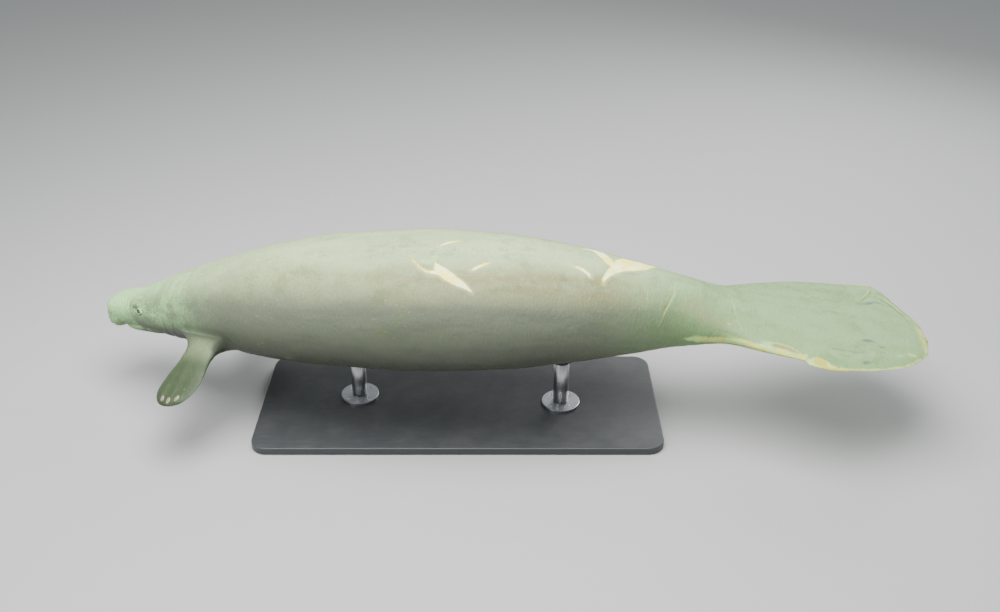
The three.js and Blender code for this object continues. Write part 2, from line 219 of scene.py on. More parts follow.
class Loft:
    """A surface of superellipse sections along a bent middle line, in metres."""

    STEPS = 300
    NUDGE = 4e-4

    def __init__(self, sections: Sequence[Section], length: float, start: Array) -> None:
        """Walks the middle line from its start and makes a curve of each column of the sections.

        Args:
            sections: The table of sections.
            length: The middle line's length in metres.
            start: Its first point.
        """
        places = [row.at for row in sections]
        names = ("side", "top", "under", "square", "lean")
        self.columns = {name: Curve(places, [getattr(row, name) for row in sections]) for name in names}
        middles = (np.arange(self.STEPS) + 0.5) / self.STEPS
        steps = np.cumsum(self.direction(middles) * (length / self.STEPS), axis=0)
        self.line = start + np.vstack([np.zeros(3), steps])
        self.length = length

    def direction(self, at: Array) -> Array:
        """The middle line's direction at shares of its length."""
        raise NotImplementedError

    def across(self, at: Array, along: Array) -> Array:
        """The direction of angle nought at shares of the length."""
        raise NotImplementedError

    def ends(self, at: Array, angle: Array) -> tuple[Array, Array]:
        """What share of the section's width and of its thickness is left near the ends."""
        raise NotImplementedError

    def middle(self, at: Array) -> Array:
        """Points of the middle line."""
        knots = np.linspace(0, 1, self.STEPS + 1)
        return np.stack([np.interp(at, knots, self.line[:, axis]) for axis in range(3)], axis=-1)

    def frame(self, at: Array) -> tuple[Array, Array, Array, Array]:
        """Points of the middle line with their directions along, across and up.

        Args:
            at: Shares of the length.

        Returns:
            The points and the three directions.
        """
        along = self.direction(at)
        across = self.across(at, along)
        return self.middle(at), along, across, np.cross(along, across)

    def plain(self, at: Array, angle: Array) -> Array:
        """Points of the bare surface at shares of the length and angles in radians.

        Args:
            at: Shares of the length.
            angle: Angles in radians.

        Returns:
            The points.
        """
        point, along, across, up = self.frame(at)
        size = {name: column(at) for name, column in self.columns.items()}
        wide, thick = self.ends(at, angle)
        c, s = np.cos(angle), np.sin(angle)
        bend = 2 / size["square"]
        out = np.sign(c) * np.abs(c) ** bend * size["side"] * wide * MM
        tall = np.where(s > 0, size["top"], size["under"]) * thick * MM
        rise = np.sign(s) * np.abs(s) ** bend * tall
        lean = -rise * np.tan(np.radians(size["lean"]))
        return point + across * out[..., None] + up * rise[..., None] + along * lean[..., None]

    def spot(self, at: Array, angle: Array) -> Spot:
        """Places of the bare surface with their outward directions.

        Args:
            at: Shares of the length.
            angle: Angles in radians.

        Returns:
            The places.
        """
        at, angle = np.broadcast_arrays(np.asarray(at, float), np.asarray(angle, float))
        inner = np.clip(at, self.NUDGE, 1 - self.NUDGE)
        nudge = self.NUDGE / 2
        along = self.plain(inner + nudge, angle) - self.plain(inner - nudge, angle)
        around = self.plain(inner, angle + nudge) - self.plain(inner, angle - nudge)
        return Spot(at, angle, self.plain(at, angle), unit(np.cross(around, along)))

    def height(self, spot: Spot) -> Array:
        """How far the finished surface stands out from the bare one."""
        return np.zeros_like(spot.at)

    def surface(self, at: Array, angle: Array) -> Array:
        """Points of the finished surface."""
        spot = self.spot(at, angle)
        return spot.point + spot.normal * self.height(spot)[..., None]


def rounded_end(share: Array, power: float) -> Array:
    """How much of a full section is left at a share of the way into a rounded end."""
    inside = np.clip(share, 0, 1)
    return (1 - inside**power) ** (1 / power)


@dataclass(frozen=True)
class Seat:
    """A small flat frame on a surface, with its axes along the body, across and out."""

    point: Array
    along: Array
    across: Array
    out: Array

    def flat(self, points: Array) -> tuple[Array, Array]:
        """The along and across distances of points from the seat."""
        shift = points - self.point
        return shift @ self.along, shift @ self.across

    def matrix(self, sunk: float = 0.0) -> Matrix:
        """The frame as a matrix, sunk into the surface by a distance."""
        columns = np.column_stack([self.along, self.across, self.out, self.point - self.out * sunk])
        return Matrix([*columns.tolist(), [0, 0, 0, 1]])


def seat_on(loft: Loft, at: float, degrees: float) -> Seat:
    """The seat at a share of a surface's length and an angle in degrees.

    Args:
        loft: The surface.
        at: The share of its length.
        degrees: The angle round its section.

    Returns:
        The seat.
    """
    angle = math.radians(degrees)
    nudge = 0.004
    point, ahead, turned = loft.plain(np.array([at, at + nudge, at]), np.array([angle, angle, angle + nudge]))
    along = unit(ahead - point)
    out = unit(np.cross(unit(turned - point), along))
    return Seat(point, along, np.cross(out, along), out)


# The body


BODY_SECTIONS = (
    Section(0.0, 74, 44, 44, 2.6, 20),
    Section(0.02, 80, 53, 54, 2.5, 16),
    Section(0.04, 83, 64, 65, 2.3, 8),
    Section(0.065, 98, 82, 84, 2.15, 2),
    Section(0.095, 121, 109, 106, 2.0),
    Section(0.125, 146, 134, 122, 2.0),
    Section(0.175, 194, 172, 148, 2.0),
    Section(0.235, 242, 204, 180, 2.1),
    Section(0.32, 280, 228, 206, 2.15),
    Section(0.42, 296, 238, 218, 2.15),
    Section(0.5, 284, 230, 212, 2.1),
    Section(0.58, 246, 202, 186, 2.05),
    Section(0.66, 190, 158, 144, 2.0),
    Section(0.715, 152, 120, 108, 2.0),
    Section(0.755, 160, 86, 76, 1.9),
    Section(0.81, 232, 55, 47, 1.75),
    Section(0.875, 298, 35, 30, 1.65),
    Section(0.925, 308, 25, 22, 1.65),
    Section(1.0, 300, 13, 12, 1.8),
)


@dataclass(frozen=True)
class PaddleSide:
    """What the tail's halves have over its section, and the rise of its right edge, in millimetres."""

    at: float
    right: float
    left: float
    curl: float


PADDLE_SIDES = (
    PaddleSide(0.0, 0, 0, 0),
    PaddleSide(0.74, 0, 0, 0),
    PaddleSide(0.79, 16, 0, 0),
    PaddleSide(0.83, 18, 0, 0),
    PaddleSide(0.87, 12, 0, 0),
    PaddleSide(0.9, 13, -22, 0),
    PaddleSide(0.92, 20, -30, 4),
    PaddleSide(0.938, 30, -33, 11),
    PaddleSide(0.953, 37, -31, 18),
    PaddleSide(0.965, 24, -29, 16),
    PaddleSide(0.975, 0, -24, 10),
    PaddleSide(0.985, -12, -18, 4),
    PaddleSide(1.0, 0, 0, 0),
)


@dataclass(frozen=True)
class Stroke:
    """A mark drawn over the skin: shares of the length, angles in degrees and half widths in millimetres."""

    path: tuple[tuple[float, float, float], ...]

    def distance(self, body: "Body", points: Array) -> Array:
        """How far points lie outside the mark's edge, in metres, or inside it if negative.

        Args:
            body: The body that it is drawn on.
            points: Rows of places in metres.

        Returns:
            One distance per point.
        """
        at, angle, half = (np.array(column) for column in zip(*self.path))
        knots = body.plain(at, np.radians(angle))
        best = np.full(len(points), 1.0)
        for start, end, first, last in zip(knots[:-1], knots[1:], half[:-1], half[1:]):
            reach = end - start
            share = np.clip((points - start) @ reach / (reach @ reach), 0, 1)
            gap = np.linalg.norm(points - start - share[:, None] * reach, axis=-1)
            best = np.minimum(best, gap - (first + (last - first) * share) * MM)
        return best


@dataclass(frozen=True)
class Crease:
    """A fold of the skin that follows a stroke, with its depth in millimetres."""

    path: tuple[tuple[float, float, float], ...]
    depth: float

    def on(self, side: Side) -> "Crease":
        """The same fold on one side, where its angles are counted from that side."""
        path = tuple((at, side.angle(above), half) for at, above, half in self.path)
        return Crease(path, self.depth)

    def dent(self, body: "Body", points: Array, wobble: Array) -> Array:
        """How deep the fold is at some points.

        Args:
            body: The body it lies on.
            points: Rows of places in metres.
            wobble: Noise that shifts the fold a little.

        Returns:
            The depth at each point, in millimetres.
        """
        middle = Stroke(tuple((at, angle, 0.0) for at, angle, _ in self.path))
        wide = float(np.mean([half for _, _, half in self.path]))
        gap = middle.distance(body, points) / MM + 1.5 * wobble
        return self.depth * (bell(gap, wide) - 0.3 * bell(gap, wide * 2.6))


@dataclass(frozen=True)
class RingFold:
    """A fold round the body: its place, its width and depth in millimetres, and where it is deepest."""

    at: float
    wide: float
    depth: float
    deepest: float = -90.0
    tilt: float = 0.0


@dataclass(frozen=True)
class Markings:
    """The marks drawn over the skin, the creases, and the folds that run round the body."""

    scars: tuple[Stroke, ...] = (
        Stroke(((0.404, 107, 0.5), (0.4091, 112, 3), (0.4164, 118, 3.4), (0.4244, 121.4, 4.6),
                (0.432, 122, 7), (0.439, 122, 12))),
        Stroke(((0.4318, 112.8, 3), (0.4345, 116.5, 10), (0.4384, 120, 17), (0.4457, 124.2, 18),
                (0.454, 128.4, 15), (0.4625, 131.8, 11), (0.469, 134.9, 6), (0.4745, 138.8, 0.4))),
        Stroke(((0.431, 97.5, 0.4), (0.4372, 94.5, 4.4), (0.4431, 91.5, 5.2), (0.452, 89.2, 4.2),
                (0.461, 87.6, 0.4))),
        Stroke(((0.4698, 120.5, 0.5), (0.475, 117.9, 5.2), (0.4804, 115.6, 5.2), (0.487, 112.9, 4.2),
                (0.4925, 112, 0.4))),
        Stroke(((0.59, 76, 0.5), (0.6, 72.5, 6), (0.6075, 72, 13), (0.6125, 74.5, 19),
                (0.6165, 81, 19), (0.6215, 89.5, 16), (0.626, 96.5, 9), (0.63, 101, 4))),
        Stroke(((0.615, 123.5, 0.5), (0.6156, 117.5, 6), (0.62, 110.5, 10), (0.6262, 103.5, 15),
                (0.633, 97, 24), (0.6415, 89, 38), (0.6495, 83, 44), (0.6588, 80, 35),
                (0.6681, 75, 20), (0.681, 67, 0.6))),
        Stroke(((0.578, 105.2, 0.4), (0.585, 106.6, 4.6), (0.5929, 109.6, 6.4), (0.5975, 112.8, 6.4),
                (0.602, 118.4, 0.5))),
    )
    lines: tuple[Stroke, ...] = (
        Stroke(((0.3772, 90.5, 0.3), (0.3825, 88.2, 3), (0.3925, 85.2, 2.6), (0.4125, 84.2, 0.3))),
        Stroke(((0.444, 110, 0.3), (0.452, 106.5, 1.8), (0.461, 103, 0.3))),
        Stroke(((0.6967, 104, 0.8), (0.6967, 121.2, 3), (0.6934, 130, 3.2), (0.6868, 146.2, 3),
                (0.68, 168, 1))),
        Stroke(((0.802, 156, 1), (0.814, 151, 3.5), (0.828, 152, 4), (0.84, 158, 2.5))),
        Stroke(((0.666, 120, 0.3), (0.6654, 128, 1.8), (0.665, 136, 0.3))),
        Stroke(((0.765, 96, 0.3), (0.768, 110, 2), (0.77, 130, 2), (0.7725, 146, 0.4))),
        Stroke(((0.7607, 145.6, 4), (0.7619, 146.4, 4))),
        Stroke(((0.1522, 105.5, 6), (0.1534, 106.5, 6))),
        Stroke(((0.9685, 140.5, 7), (0.9735, 146, 8))),
        Stroke(((0.9535, 142, 4), (0.958, 140.5, 2.5))),
        Stroke(((0.929, 56, 0.5), (0.94, 43, 3), (0.949, 28, 2))),
        Stroke(((0.95, 40, 0.5), (0.962, 32, 3), (0.974, 33, 3), (0.983, 40, 2),
                (0.988, 50, 0.6))),
        Stroke(((0.83, 5, 1), (0.86, 2, 4), (0.9, 1, 4.5), (0.94, 2, 4),
                (0.953, 6, 1))),
        Stroke(((0.29, 40, 0.4), (0.3, 34, 3.2), (0.312, 30, 3), (0.324, 29, 0.4))),
        Stroke(((0.535, 58, 0.4), (0.546, 50, 3.8), (0.556, 43, 3.4), (0.562, 36, 0.4))),
    )
    rim: tuple[Stroke, ...] = (
        Stroke(((0.713, 191, 2), (0.719, 192, 10), (0.726, 192, 15), (0.742, 193, 15), (0.756, 192, 14),
                (0.768, 187, 14), (0.778, 181, 14), (0.7886, 180, 16), (0.8, 178, 18), (0.812, 176, 19),
                (0.8326, 173, 18), (0.842, 170, 13))),
        Stroke(((0.848, 168, 14), (0.856, 164, 24), (0.864, 166, 20), (0.878, 175, 8), (0.9, 178, 5),
                (0.9258, 179, 4), (0.96, 179, 3.5), (0.985, 179, 4), (0.997, 150, 5))),
    )
    blob: tuple[Stroke, ...] = (
        Stroke(((0.8575, 160, 16), (0.8615, 161, 17))),
        Stroke(((0.864, 175, 7), (0.88, 178, 4), (0.905, 179, 1))),
    )
    brown: tuple[Stroke, ...] = (
        Stroke(((0.798, 163, 3), (0.812, 159, 14), (0.826, 157, 12), (0.836, 159, 3))),
    )
    tan: tuple[Stroke, ...] = (
        Stroke(((0.705, 140, 4), (0.7214, 131, 26), (0.7334, 142, 30), (0.7507, 147, 20), (0.768, 145, 4))),
    )
    mint: tuple[Stroke, ...] = (
        Stroke(((0.799, 159.5, 7), (0.8055, 157.5, 8))),
        Stroke(((0.629, 96, 5), (0.635, 86, 9), (0.644, 70, 12))),
        Stroke(((0.416, 111.5, 6), (0.426, 112.5, 14), (0.433, 108, 10))),
    )
    # dark patches, mostly along the paddle's creases, and one by the left eye
    stains: tuple[Stroke, ...] = (
        Stroke(((0.915, 119.5, 5), (0.92, 119.5, 10), (0.925, 119, 8), (0.931, 121, 2))),
        Stroke(((0.9345, 126.5, 5), (0.9385, 127.5, 4))),
        Stroke(((0.9105, 153.5, 6), (0.916, 152, 5))),
        Stroke(((0.8772, 134.2, 2.5), (0.8911, 135.2, 4), (0.9031, 137, 3.5), (0.9178, 135.5, 1.5))),
        Stroke(((0.053, 151, 8), (0.06, 155, 7))),
        Stroke(((0.93, 60, 2), (0.9345, 56.5, 8), (0.9411, 54, 9), (0.9497, 50, 7),
                (0.9564, 50.5, 2))),
        Stroke(((0.958, 42, 2), (0.966, 41, 5), (0.977, 43, 4), (0.984, 49, 1))),
    )
    single: tuple[Crease, ...] = (
        Crease(((0.6967, 100, 3), (0.6967, 121.2, 5), (0.6934, 130, 5), (0.6868, 146.2, 5),
                (0.679, 175, 3)), 1.6),
        Crease(((0.765, 92, 3), (0.769, 120, 6), (0.7735, 150, 3)), 1.6),
        Crease(((0.759, 20, 3), (0.764, 45, 6), (0.765, 80, 3)), 1.4),
        Crease(((0.926, 62, 4), (0.9377, 50, 8), (0.9477, 39.5, 7), (0.9544, 23.8, 5)), 5),
        Crease(((0.9358, 57, 4), (0.9451, 50, 6), (0.9544, 45, 6), (0.9697, 46.2, 6),
                (0.98, 49, 3)), 4),
        Crease(((0.9551, 36.8, 4), (0.9637, 36.5, 6), (0.9724, 36.8, 6), (0.9857, 50, 3)), 4),
        Crease(((0.944, 30, 3), (0.952, 14, 5), (0.956, 4, 3)), 3),
        Crease(((0.89, 150, 5), (0.9, 143, 9), (0.91, 140, 5)), 2),
    )
    paired: tuple[Crease, ...] = (
        Crease(((0.19, -62, 5), (0.196, -42, 9), (0.195, -22, 8), (0.185, -6, 4)), 5),
        Crease(((0.206, -58, 4), (0.212, -40, 8), (0.208, -20, 4)), 3),
        Crease(((0.044, -16, 2), (0.05, -26, 5), (0.06, -38, 6), (0.072, -50, 4)), 4),
        Crease(((0.074, 4, 2), (0.079, -12, 4), (0.08, -34, 3)), 2.2),
    )
    folds: tuple[RingFold, ...] = (
        RingFold(0.0455, 7, 3.2, deepest=90, tilt=0.002),
        RingFold(0.055, 6, 1.8, deepest=90, tilt=0.001),
        RingFold(0.088, 11, 2.4, deepest=-60, tilt=0.004),
        RingFold(0.102, 14, 4.2, deepest=-90, tilt=0.005),
        RingFold(0.116, 13, 3.6, deepest=-90, tilt=0.006),
        RingFold(0.13, 15, 4.6, deepest=-90, tilt=0.006),
        RingFold(0.226, 18, 2, deepest=-40, tilt=0.004),
        RingFold(0.676, 16, 1.4, deepest=10, tilt=0.003),
        RingFold(0.724, 16, 2, deepest=-90, tilt=0.003),
        RingFold(0.742, 13, 1.8, deepest=-90, tilt=0.003),
    )

    def strokes(self, kind: Mark) -> tuple[Stroke, ...]:
        """The strokes of one kind of mark."""
        return getattr(self, kind.value)

    def creases(self) -> list[Crease]:
        """All the creases: the single ones, and the paired ones on both sides."""
        return [*self.single, *(crease.on(side) for crease in self.paired for side in Side)]


@dataclass(frozen=True)
class Egg:
    """A swelling of the face, in millimetres, set to the side of and above the spine."""

    at: float
    side: float
    up: float
    along: float
    wide: float
    tall: float

    FALL_OFF = 1.5
    REACH = 0.08

    def exit(self, body: "Body", spot: Spot) -> Array:
        """How far out of the bare surface its own surface lies, along the outward direction.

        Args:
            body: The body that carries it.
            spot: Places of the bare surface.

        Returns:
            One distance in metres per place.
        """
        point, along, across, up = (part[0] for part in body.frame(np.array([self.at])))
        centre = point + across * self.side * MM + up * self.up * MM
        axes = np.column_stack([along / self.along, across / self.wide, up / self.tall]) / MM
        start, way = (spot.point - centre) @ axes, spot.normal @ axes
        a, b, c = dot(way, way), dot(start, way), dot(start, start) - 1
        inside = b * b - a * c
        beside = -self.FALL_OFF * np.sqrt(np.maximum(-inside, 0))
        root = np.where(inside > 0, np.sqrt(np.maximum(inside, 0)), beside)
        return np.clip((root - b) / a, -self.REACH, self.REACH)


@dataclass(frozen=True)
class FaceShape:
    """The places and sizes of the face, in millimetres, degrees and shares of the body's length."""

    pad: tuple[float, ...] = (0.0135, 36, -20, 42, 44, 41)
    jaw: Egg = Egg(0.05, 0, -57, 116, 66, 37)
    pad_softness: float = 5.0
    mouth_depth: float = 7.0
    mouth_wide: float = 3.4
    mouth_ends: float = 0.046
    eye: tuple[float, float] = (0.062, 16.0)
    eye_radius: float = 10.0
    eye_sunk: float = 4.5
    nostril: tuple[float, float] = (0.0040, 60.0)
    nostril_arc: float = 9.0
    nostril_turn: float = 24.0
    ear: tuple[float, float] = (0.09, 14.0)
    lid: tuple[tuple[float, float], ...] = (
        (0, -9.0), (6.4, -8.6), (7.4, 2.5), (8.4, 3.5), (10.4, 3.2), (13.0, 0.9), (16.0, -1.2), (20.0, -0.6),
        (27.0, 0.0),
    )


class Body(Loft):
    """The body from the lips to the tip of the tail, with all that is worked into its surface."""

    LENGTH = 3.0
    HEIGHT = 0.45
    MID = 0.45
    SNOUT_OVER, SNOUT_POWER = 0.018, 2.6
    PADDLE_OVER, PADDLE_POWER = 0.115, 2.3
    TIP_OVER, TIP_POWER = 0.022, 2.2
    POSE = ((0.0, 10, -22), (0.1, 11, -18), (0.2, 8, -10), (0.35, 3, -5), (0.5, 0, -3), (0.65, -3, -2),
            (0.8, -4, -4), (1.0, -6, -5))
    NOTCH_AT, NOTCH_DEEP = 0.8435, 20.0
    NOTCH_AHEAD, NOTCH_BEHIND = 170, 11
    INSET = 0.8

    def __init__(self, face: FaceShape, marks: Markings) -> None:
        """Lays the spine and seats the features of the face.

        Args:
            face: The places and sizes of the face.
            marks: The folds, creases and scars.
        """
        at, pitch, yaw = zip(*self.POSE)
        self.pitch, self.yaw = Curve(at, pitch), Curve(at, yaw)
        places = [row.at for row in PADDLE_SIDES]
        names = ("right", "left", "curl")
        self.uneven = {name: Curve(places, [getattr(row, name) for row in PADDLE_SIDES]) for name in names}
        super().__init__(BODY_SECTIONS, self.LENGTH, np.zeros(3))
        self.line += np.array([0, 0, self.HEIGHT]) - self.middle(np.array(self.MID))
        self.face, self.marks = face, marks
        self.eyes = {side: seat_on(self, face.eye[0], side.angle(face.eye[1])) for side in Side}
        self.nostrils = {side: seat_on(self, face.nostril[0], side.angle(face.nostril[1])) for side in Side}
        self.ears = {side: seat_on(self, face.ear[0], side.angle(face.ear[1])) for side in Side}
        place_at, out, *rest = face.pad
        self.pads = [Egg(place_at, out * side.value, *rest) for side in Side]

    def direction(self, at: Array) -> Array:
        """The spine's direction, tailwards."""
        pitch, yaw = np.radians(self.pitch(at)), np.radians(self.yaw(at))
        return np.stack([np.cos(pitch) * np.cos(yaw), np.cos(pitch) * np.sin(yaw), np.sin(pitch)], axis=-1)

    def across(self, at: Array, along: Array) -> Array:
        """The direction of the animal's right."""
        return unit(np.cross(np.array([0.0, 0, 1]), along))

    def ends(self, at: Array, angle: Array) -> tuple[Array, Array]:
        """The snout closes in width and thickness, the paddle mainly in width.

        Args:
            at: Shares of the length.
            angle: Angles in radians.

        Returns:
            The share of the width and the share of the thickness.
        """
        snout = rounded_end(1 - at / self.SNOUT_OVER, self.SNOUT_POWER)
        paddle = rounded_end(1 - (1 - at) / self.PADDLE_OVER, self.PADDLE_POWER)
        tip = rounded_end(1 - (1 - at) / self.TIP_OVER, self.TIP_POWER)
        half = self.columns["side"](at)
        extra = np.where(np.cos(angle) > 0, self.uneven["right"](at), self.uneven["left"](at))
        return snout * paddle * (1 - self.notch(at, angle) / half) + extra / half, snout * tip

    def notch(self, at: Array, angle: Array) -> Array:
        """How much of the paddle's left edge is missing, in millimetres, at the notch and ahead of it.

        Args:
            at: Shares of the length.
            angle: Angles in radians.

        Returns:
            One width per place, nought on the right half.
        """
        gap = (at - self.NOTCH_AT) * self.LENGTH / MM
        ahead = np.clip(1 + gap / self.NOTCH_AHEAD, 0, 1) ** 1.4
        behind = np.clip(1 - gap / self.NOTCH_BEHIND, 0, 1)
        missing = self.NOTCH_DEEP * np.where(gap < 0, ahead, behind)
        return np.where(np.cos(angle) < 0, missing, 0)

    def plain(self, at: Array, angle: Array) -> Array:
        """Points of the bare surface, with the paddle's turned-up corner and ragged tip.

        Args:
            at: Shares of the length.
            angle: Angles in radians.

        Returns:
            The points.
        """
        bend = 2 / self.columns["square"](at)
        turned_up = self.uneven["curl"](at) * np.clip(np.cos(angle), 0, None) ** (3 * bend)
        points = super().plain(at, angle) + self.frame(at)[3] * (turned_up * MM)[..., None]
        out = np.cos(angle) * self.columns["side"](at) * self.ends(at, angle)[0]
        waves = 3.0 * np.sin(out / 15) + 2.4 * np.sin(out / 7.1 + 1.3) + 1.6 * np.sin(out / 3.7 + 0.4)
        torn = np.clip(waves + 2, 0, None) * smooth_step(120, -40, out) + 2
        share = smooth_step(0.955, 1.0, at)
        return points - self.direction(at) * (torn * share * MM)[..., None]

    def lips(self, spot: Spot) -> tuple[Array, Array]:
        """How far the lip pads and the jaw stand out of the bare surface.

        Args:
            spot: Places of the bare surface.

        Returns:
            The heights of the pads and of the jaw in metres.
        """
        left, right = (pad.exit(self, spot) for pad in self.pads)
        pads = soft_max(left, right, 3 * MM)
        upper = soft_max(pads, np.zeros_like(left), self.face.pad_softness * MM)
        return upper, self.face.jaw.exit(self, spot)

    def mouth_gap(self, spot: Spot) -> Array:
        """How far places are from the line of the mouth, or a metre where there is none.

        Args:
            spot: Places of the bare surface.

        Returns:
            One distance in metres per place.
        """
        upper, jaw = self.lips(spot)
        there = (spot.at < self.face.mouth_ends + 0.006) & (np.sin(spot.angle) < 0.1)
        return np.where(there, np.abs(upper - jaw), 1.0)

    def muzzle(self, spot: Spot) -> Array:
        """The lip pads, the jaw and the line of the mouth.

        Args:
            spot: Places of the bare surface.

        Returns:
            Heights in metres.
        """
        face = self.face
        upper, jaw = self.lips(spot)
        rear = smooth_step(0.034, 0.072, spot.at)
        whole = soft_max(upper, jaw, (2.0 + 26.0 * rear) * MM)
        front = smooth_step(face.mouth_ends + 0.008, face.mouth_ends - 0.006, spot.at)
        under = smooth_step(0.15, -0.25, np.sin(spot.angle))
        groove = bell(jaw - upper, face.mouth_wide * MM) * front * under
        middle = bell(np.cos(spot.angle) * self.columns["side"](spot.at), 5.0)
        cleft = middle * smooth_step(0.75, -0.2, np.sin(spot.angle)) * smooth_step(0.02, 0.004, spot.at)
        face_only = smooth_step(0.15, 0.1, spot.at)
        return (whole - groove * face.mouth_depth * MM - cleft * 3.0 * MM) * face_only

    def lids(self, spot: Spot, side: Side) -> Array:
        """The lids of one eye, with the wrinkles round them.

        Args:
            spot: Places of the bare surface.
            side: The animal's side.

        Returns:
            Heights in metres.
        """
        seat = self.eyes[side]
        x, y = seat.flat(spot.point)
        up = y * side.value
        r = np.hypot(x / 1.2, y) / MM
        near = np.linalg.norm(spot.point - seat.point, axis=-1) < 0.06
        theta = np.arctan2(up, x)
        profile = Curve(*zip(*self.face.lid))(r)
        heavy = 0.7 * bell(r - 10, 4.0) * np.sin(theta)
        rays = 0.5 * np.cos(13 * theta + 1.5 * np.sin(2 * theta)) * band(9, 14, 18, 34, r)
        rings = 0.45 * np.sin((r - 13) * 1.15) * band(13, 17, 24, 38, r)
        hollow = -2.2 * bell(r, 30.0)
        return np.where(near, (profile + heavy + rays + rings + hollow) * MM, 0)

    def nostril(self, spot: Spot, side: Side) -> Array:
        """One nostril, a curved slit round a soft plug, with a raised rim.

        Args:
            spot: Places of the bare surface.
            side: The animal's side.

        Returns:
            Heights in metres.
        """
        seat = self.nostrils[side]
        x, y = seat.flat(spot.point)
        turn = side.value * math.radians(self.face.nostril_turn)
        u = (x * math.cos(turn) + y * math.sin(turn)) / MM
        v = (-x * math.sin(turn) + y * math.cos(turn)) / MM
        radius = self.face.nostril_arc
        r, around = np.hypot(u + 2, v), np.abs(np.arctan2(v, u + 2))
        span = smooth_step(1.75, 1.25, around)
        slit = -8.0 * bell(r - radius, 2.1) * span
        rim = 1.5 * bell(r - radius - 5.0, 3.0) * smooth_step(2.3, 1.2, around)
        plug = 0.9 * bell(r, 5.5)
        near = np.linalg.norm(spot.point - seat.point, axis=-1) < 0.035
        return np.where(near, (slit + rim + plug) * MM, 0)

    def ear(self, spot: Spot, side: Side) -> Array:
        """One ear, a pit the size of a pencil's point in a shallow dimple."""
        gap = np.linalg.norm(spot.point - self.ears[side].point, axis=-1) / MM
        return (-3.5 * bell(gap, 2.2) - 0.8 * bell(gap, 9.0)) * MM

    def folded(self, spot: Spot, wobble: Array) -> Array:
        """The folds round the body and the creases that follow strokes.

        Args:
            spot: Places of the bare surface.
            wobble: Noise that shifts the folds a little.

        Returns:
            Heights in metres.
        """
        total = np.zeros_like(spot.at)
        for fold in self.marks.folds:
            centre = fold.at + fold.tilt * np.sin(spot.angle) + 0.0035 * wobble
            gap = (spot.at - centre) * self.LENGTH / MM
            strong = 0.35 + 0.65 * smooth_step(-0.6, 0.9, np.cos(spot.angle - math.radians(fold.deepest)))
            dent = bell(gap, fold.wide * 0.5) - 0.35 * bell(gap, fold.wide * 1.4)
            total -= fold.depth * MM * strong * dent
        for crease in self.marks.creases():
            total -= crease.dent(self, spot.point, wobble) * MM
        return total

    def wrinkled(self, spot: Spot, wobble: Array) -> Array:
        """Small wrinkles across the snout, behind the lips and under the throat.

        Args:
            spot: Places of the bare surface.
            wobble: Noise that shifts the folds a little.

        Returns:
            Heights in metres.
        """
        snout = band(0.012, 0.026, 0.05, 0.074, spot.at)
        high = smooth_step(-0.5, 0.4, np.sin(spot.angle))
        wave = np.sin(spot.at * self.LENGTH / 0.0105 * 2 * math.pi / 1.15 + 5 * wobble)
        throat = band(0.07, 0.1, 0.14, 0.2, spot.at)
        low = smooth_step(0.1, -0.7, np.sin(spot.angle))
        slow = np.sin(spot.at * self.LENGTH / 0.021 * 2 * math.pi + 4 * wobble)
        return (0.65 * wave * snout * high + 0.9 * slow * throat * low) * MM

    def tail(self, spot: Spot) -> Array:
        """The soft ridges that fan out over the paddle, and its worn edge.

        Args:
            spot: Places of the bare surface.

        Returns:
            Heights in metres.
        """
        on = band(0.76, 0.84, 0.95, 1.0, spot.at)
        fan = np.cos(spot.angle)
        ridges = np.sin(fan * 21 + 2.2 * cloud(spot.point, 0.25, seed=3.0))
        flat = smooth_step(0.99, 0.8, np.abs(fan))
        total = 1.3 * MM * ridges * on * flat
        level = np.hypot(spot.normal[:, 0], spot.normal[:, 1]) ** 4
        edge = level * smooth_step(0.79, 0.84, spot.at)
        bites = np.maximum(cloud(spot.point, 0.034, 2, seed=8.0), -0.15) - 0.1
        worn = smooth_step(0.93, 0.99, spot.at)
        return total - edge * (0.8 + 1.2 * worn) * MM * bites * 1.6

    def height(self, spot: Spot) -> Array:
        """All the relief of the body's surface.

        Args:
            spot: Places of the bare surface.

        Returns:
            Heights in metres.
        """
        wobble = cloud(spot.point, 0.09, 2, seed=1.0)
        total = self.muzzle(spot)
        calm = smooth_step(0.015, 0.06, total)
        total += (self.folded(spot, wobble) + self.wrinkled(spot, wobble)) * (1 - calm)
        for side in Side:
            total += self.lids(spot, side) + self.nostril(spot, side) + self.ear(spot, side)
        lumps = 1.8 * cloud(spot.point, 0.17, 2, seed=5.0) + 0.5 * cloud(spot.point, 0.035, seed=6.0)
        total += band(0.04, 0.16, 0.7, 0.9, spot.at) * lumps * MM
        total += self.tail(spot) - self.INSET * MM * smooth_step(0.07, 0.2, spot.at)
        scar = self.distance_to(Mark.SCARS, spot.point)
        dip, rim = 1.3 * smooth_step(2.0 * MM, -2.5 * MM, scar), 0.6 * bell(scar - 4 * MM, 3 * MM)
        return total - (dip - rim) * MM

    def distance_to(self, kind: Mark, points: Array) -> Array:
        """How far points lie outside the nearest stroke of one kind of mark, in metres."""
        return np.min([stroke.distance(self, points) for stroke in self.marks.strokes(kind)], axis=0)


# The flippers


@dataclass(frozen=True)
class FlipperPose:
    """Droop and forward sweep at the root and tip, and the twist of the blade, in degrees."""

    droop: tuple[float, float]
    sweep: tuple[float, float]
    twist: float


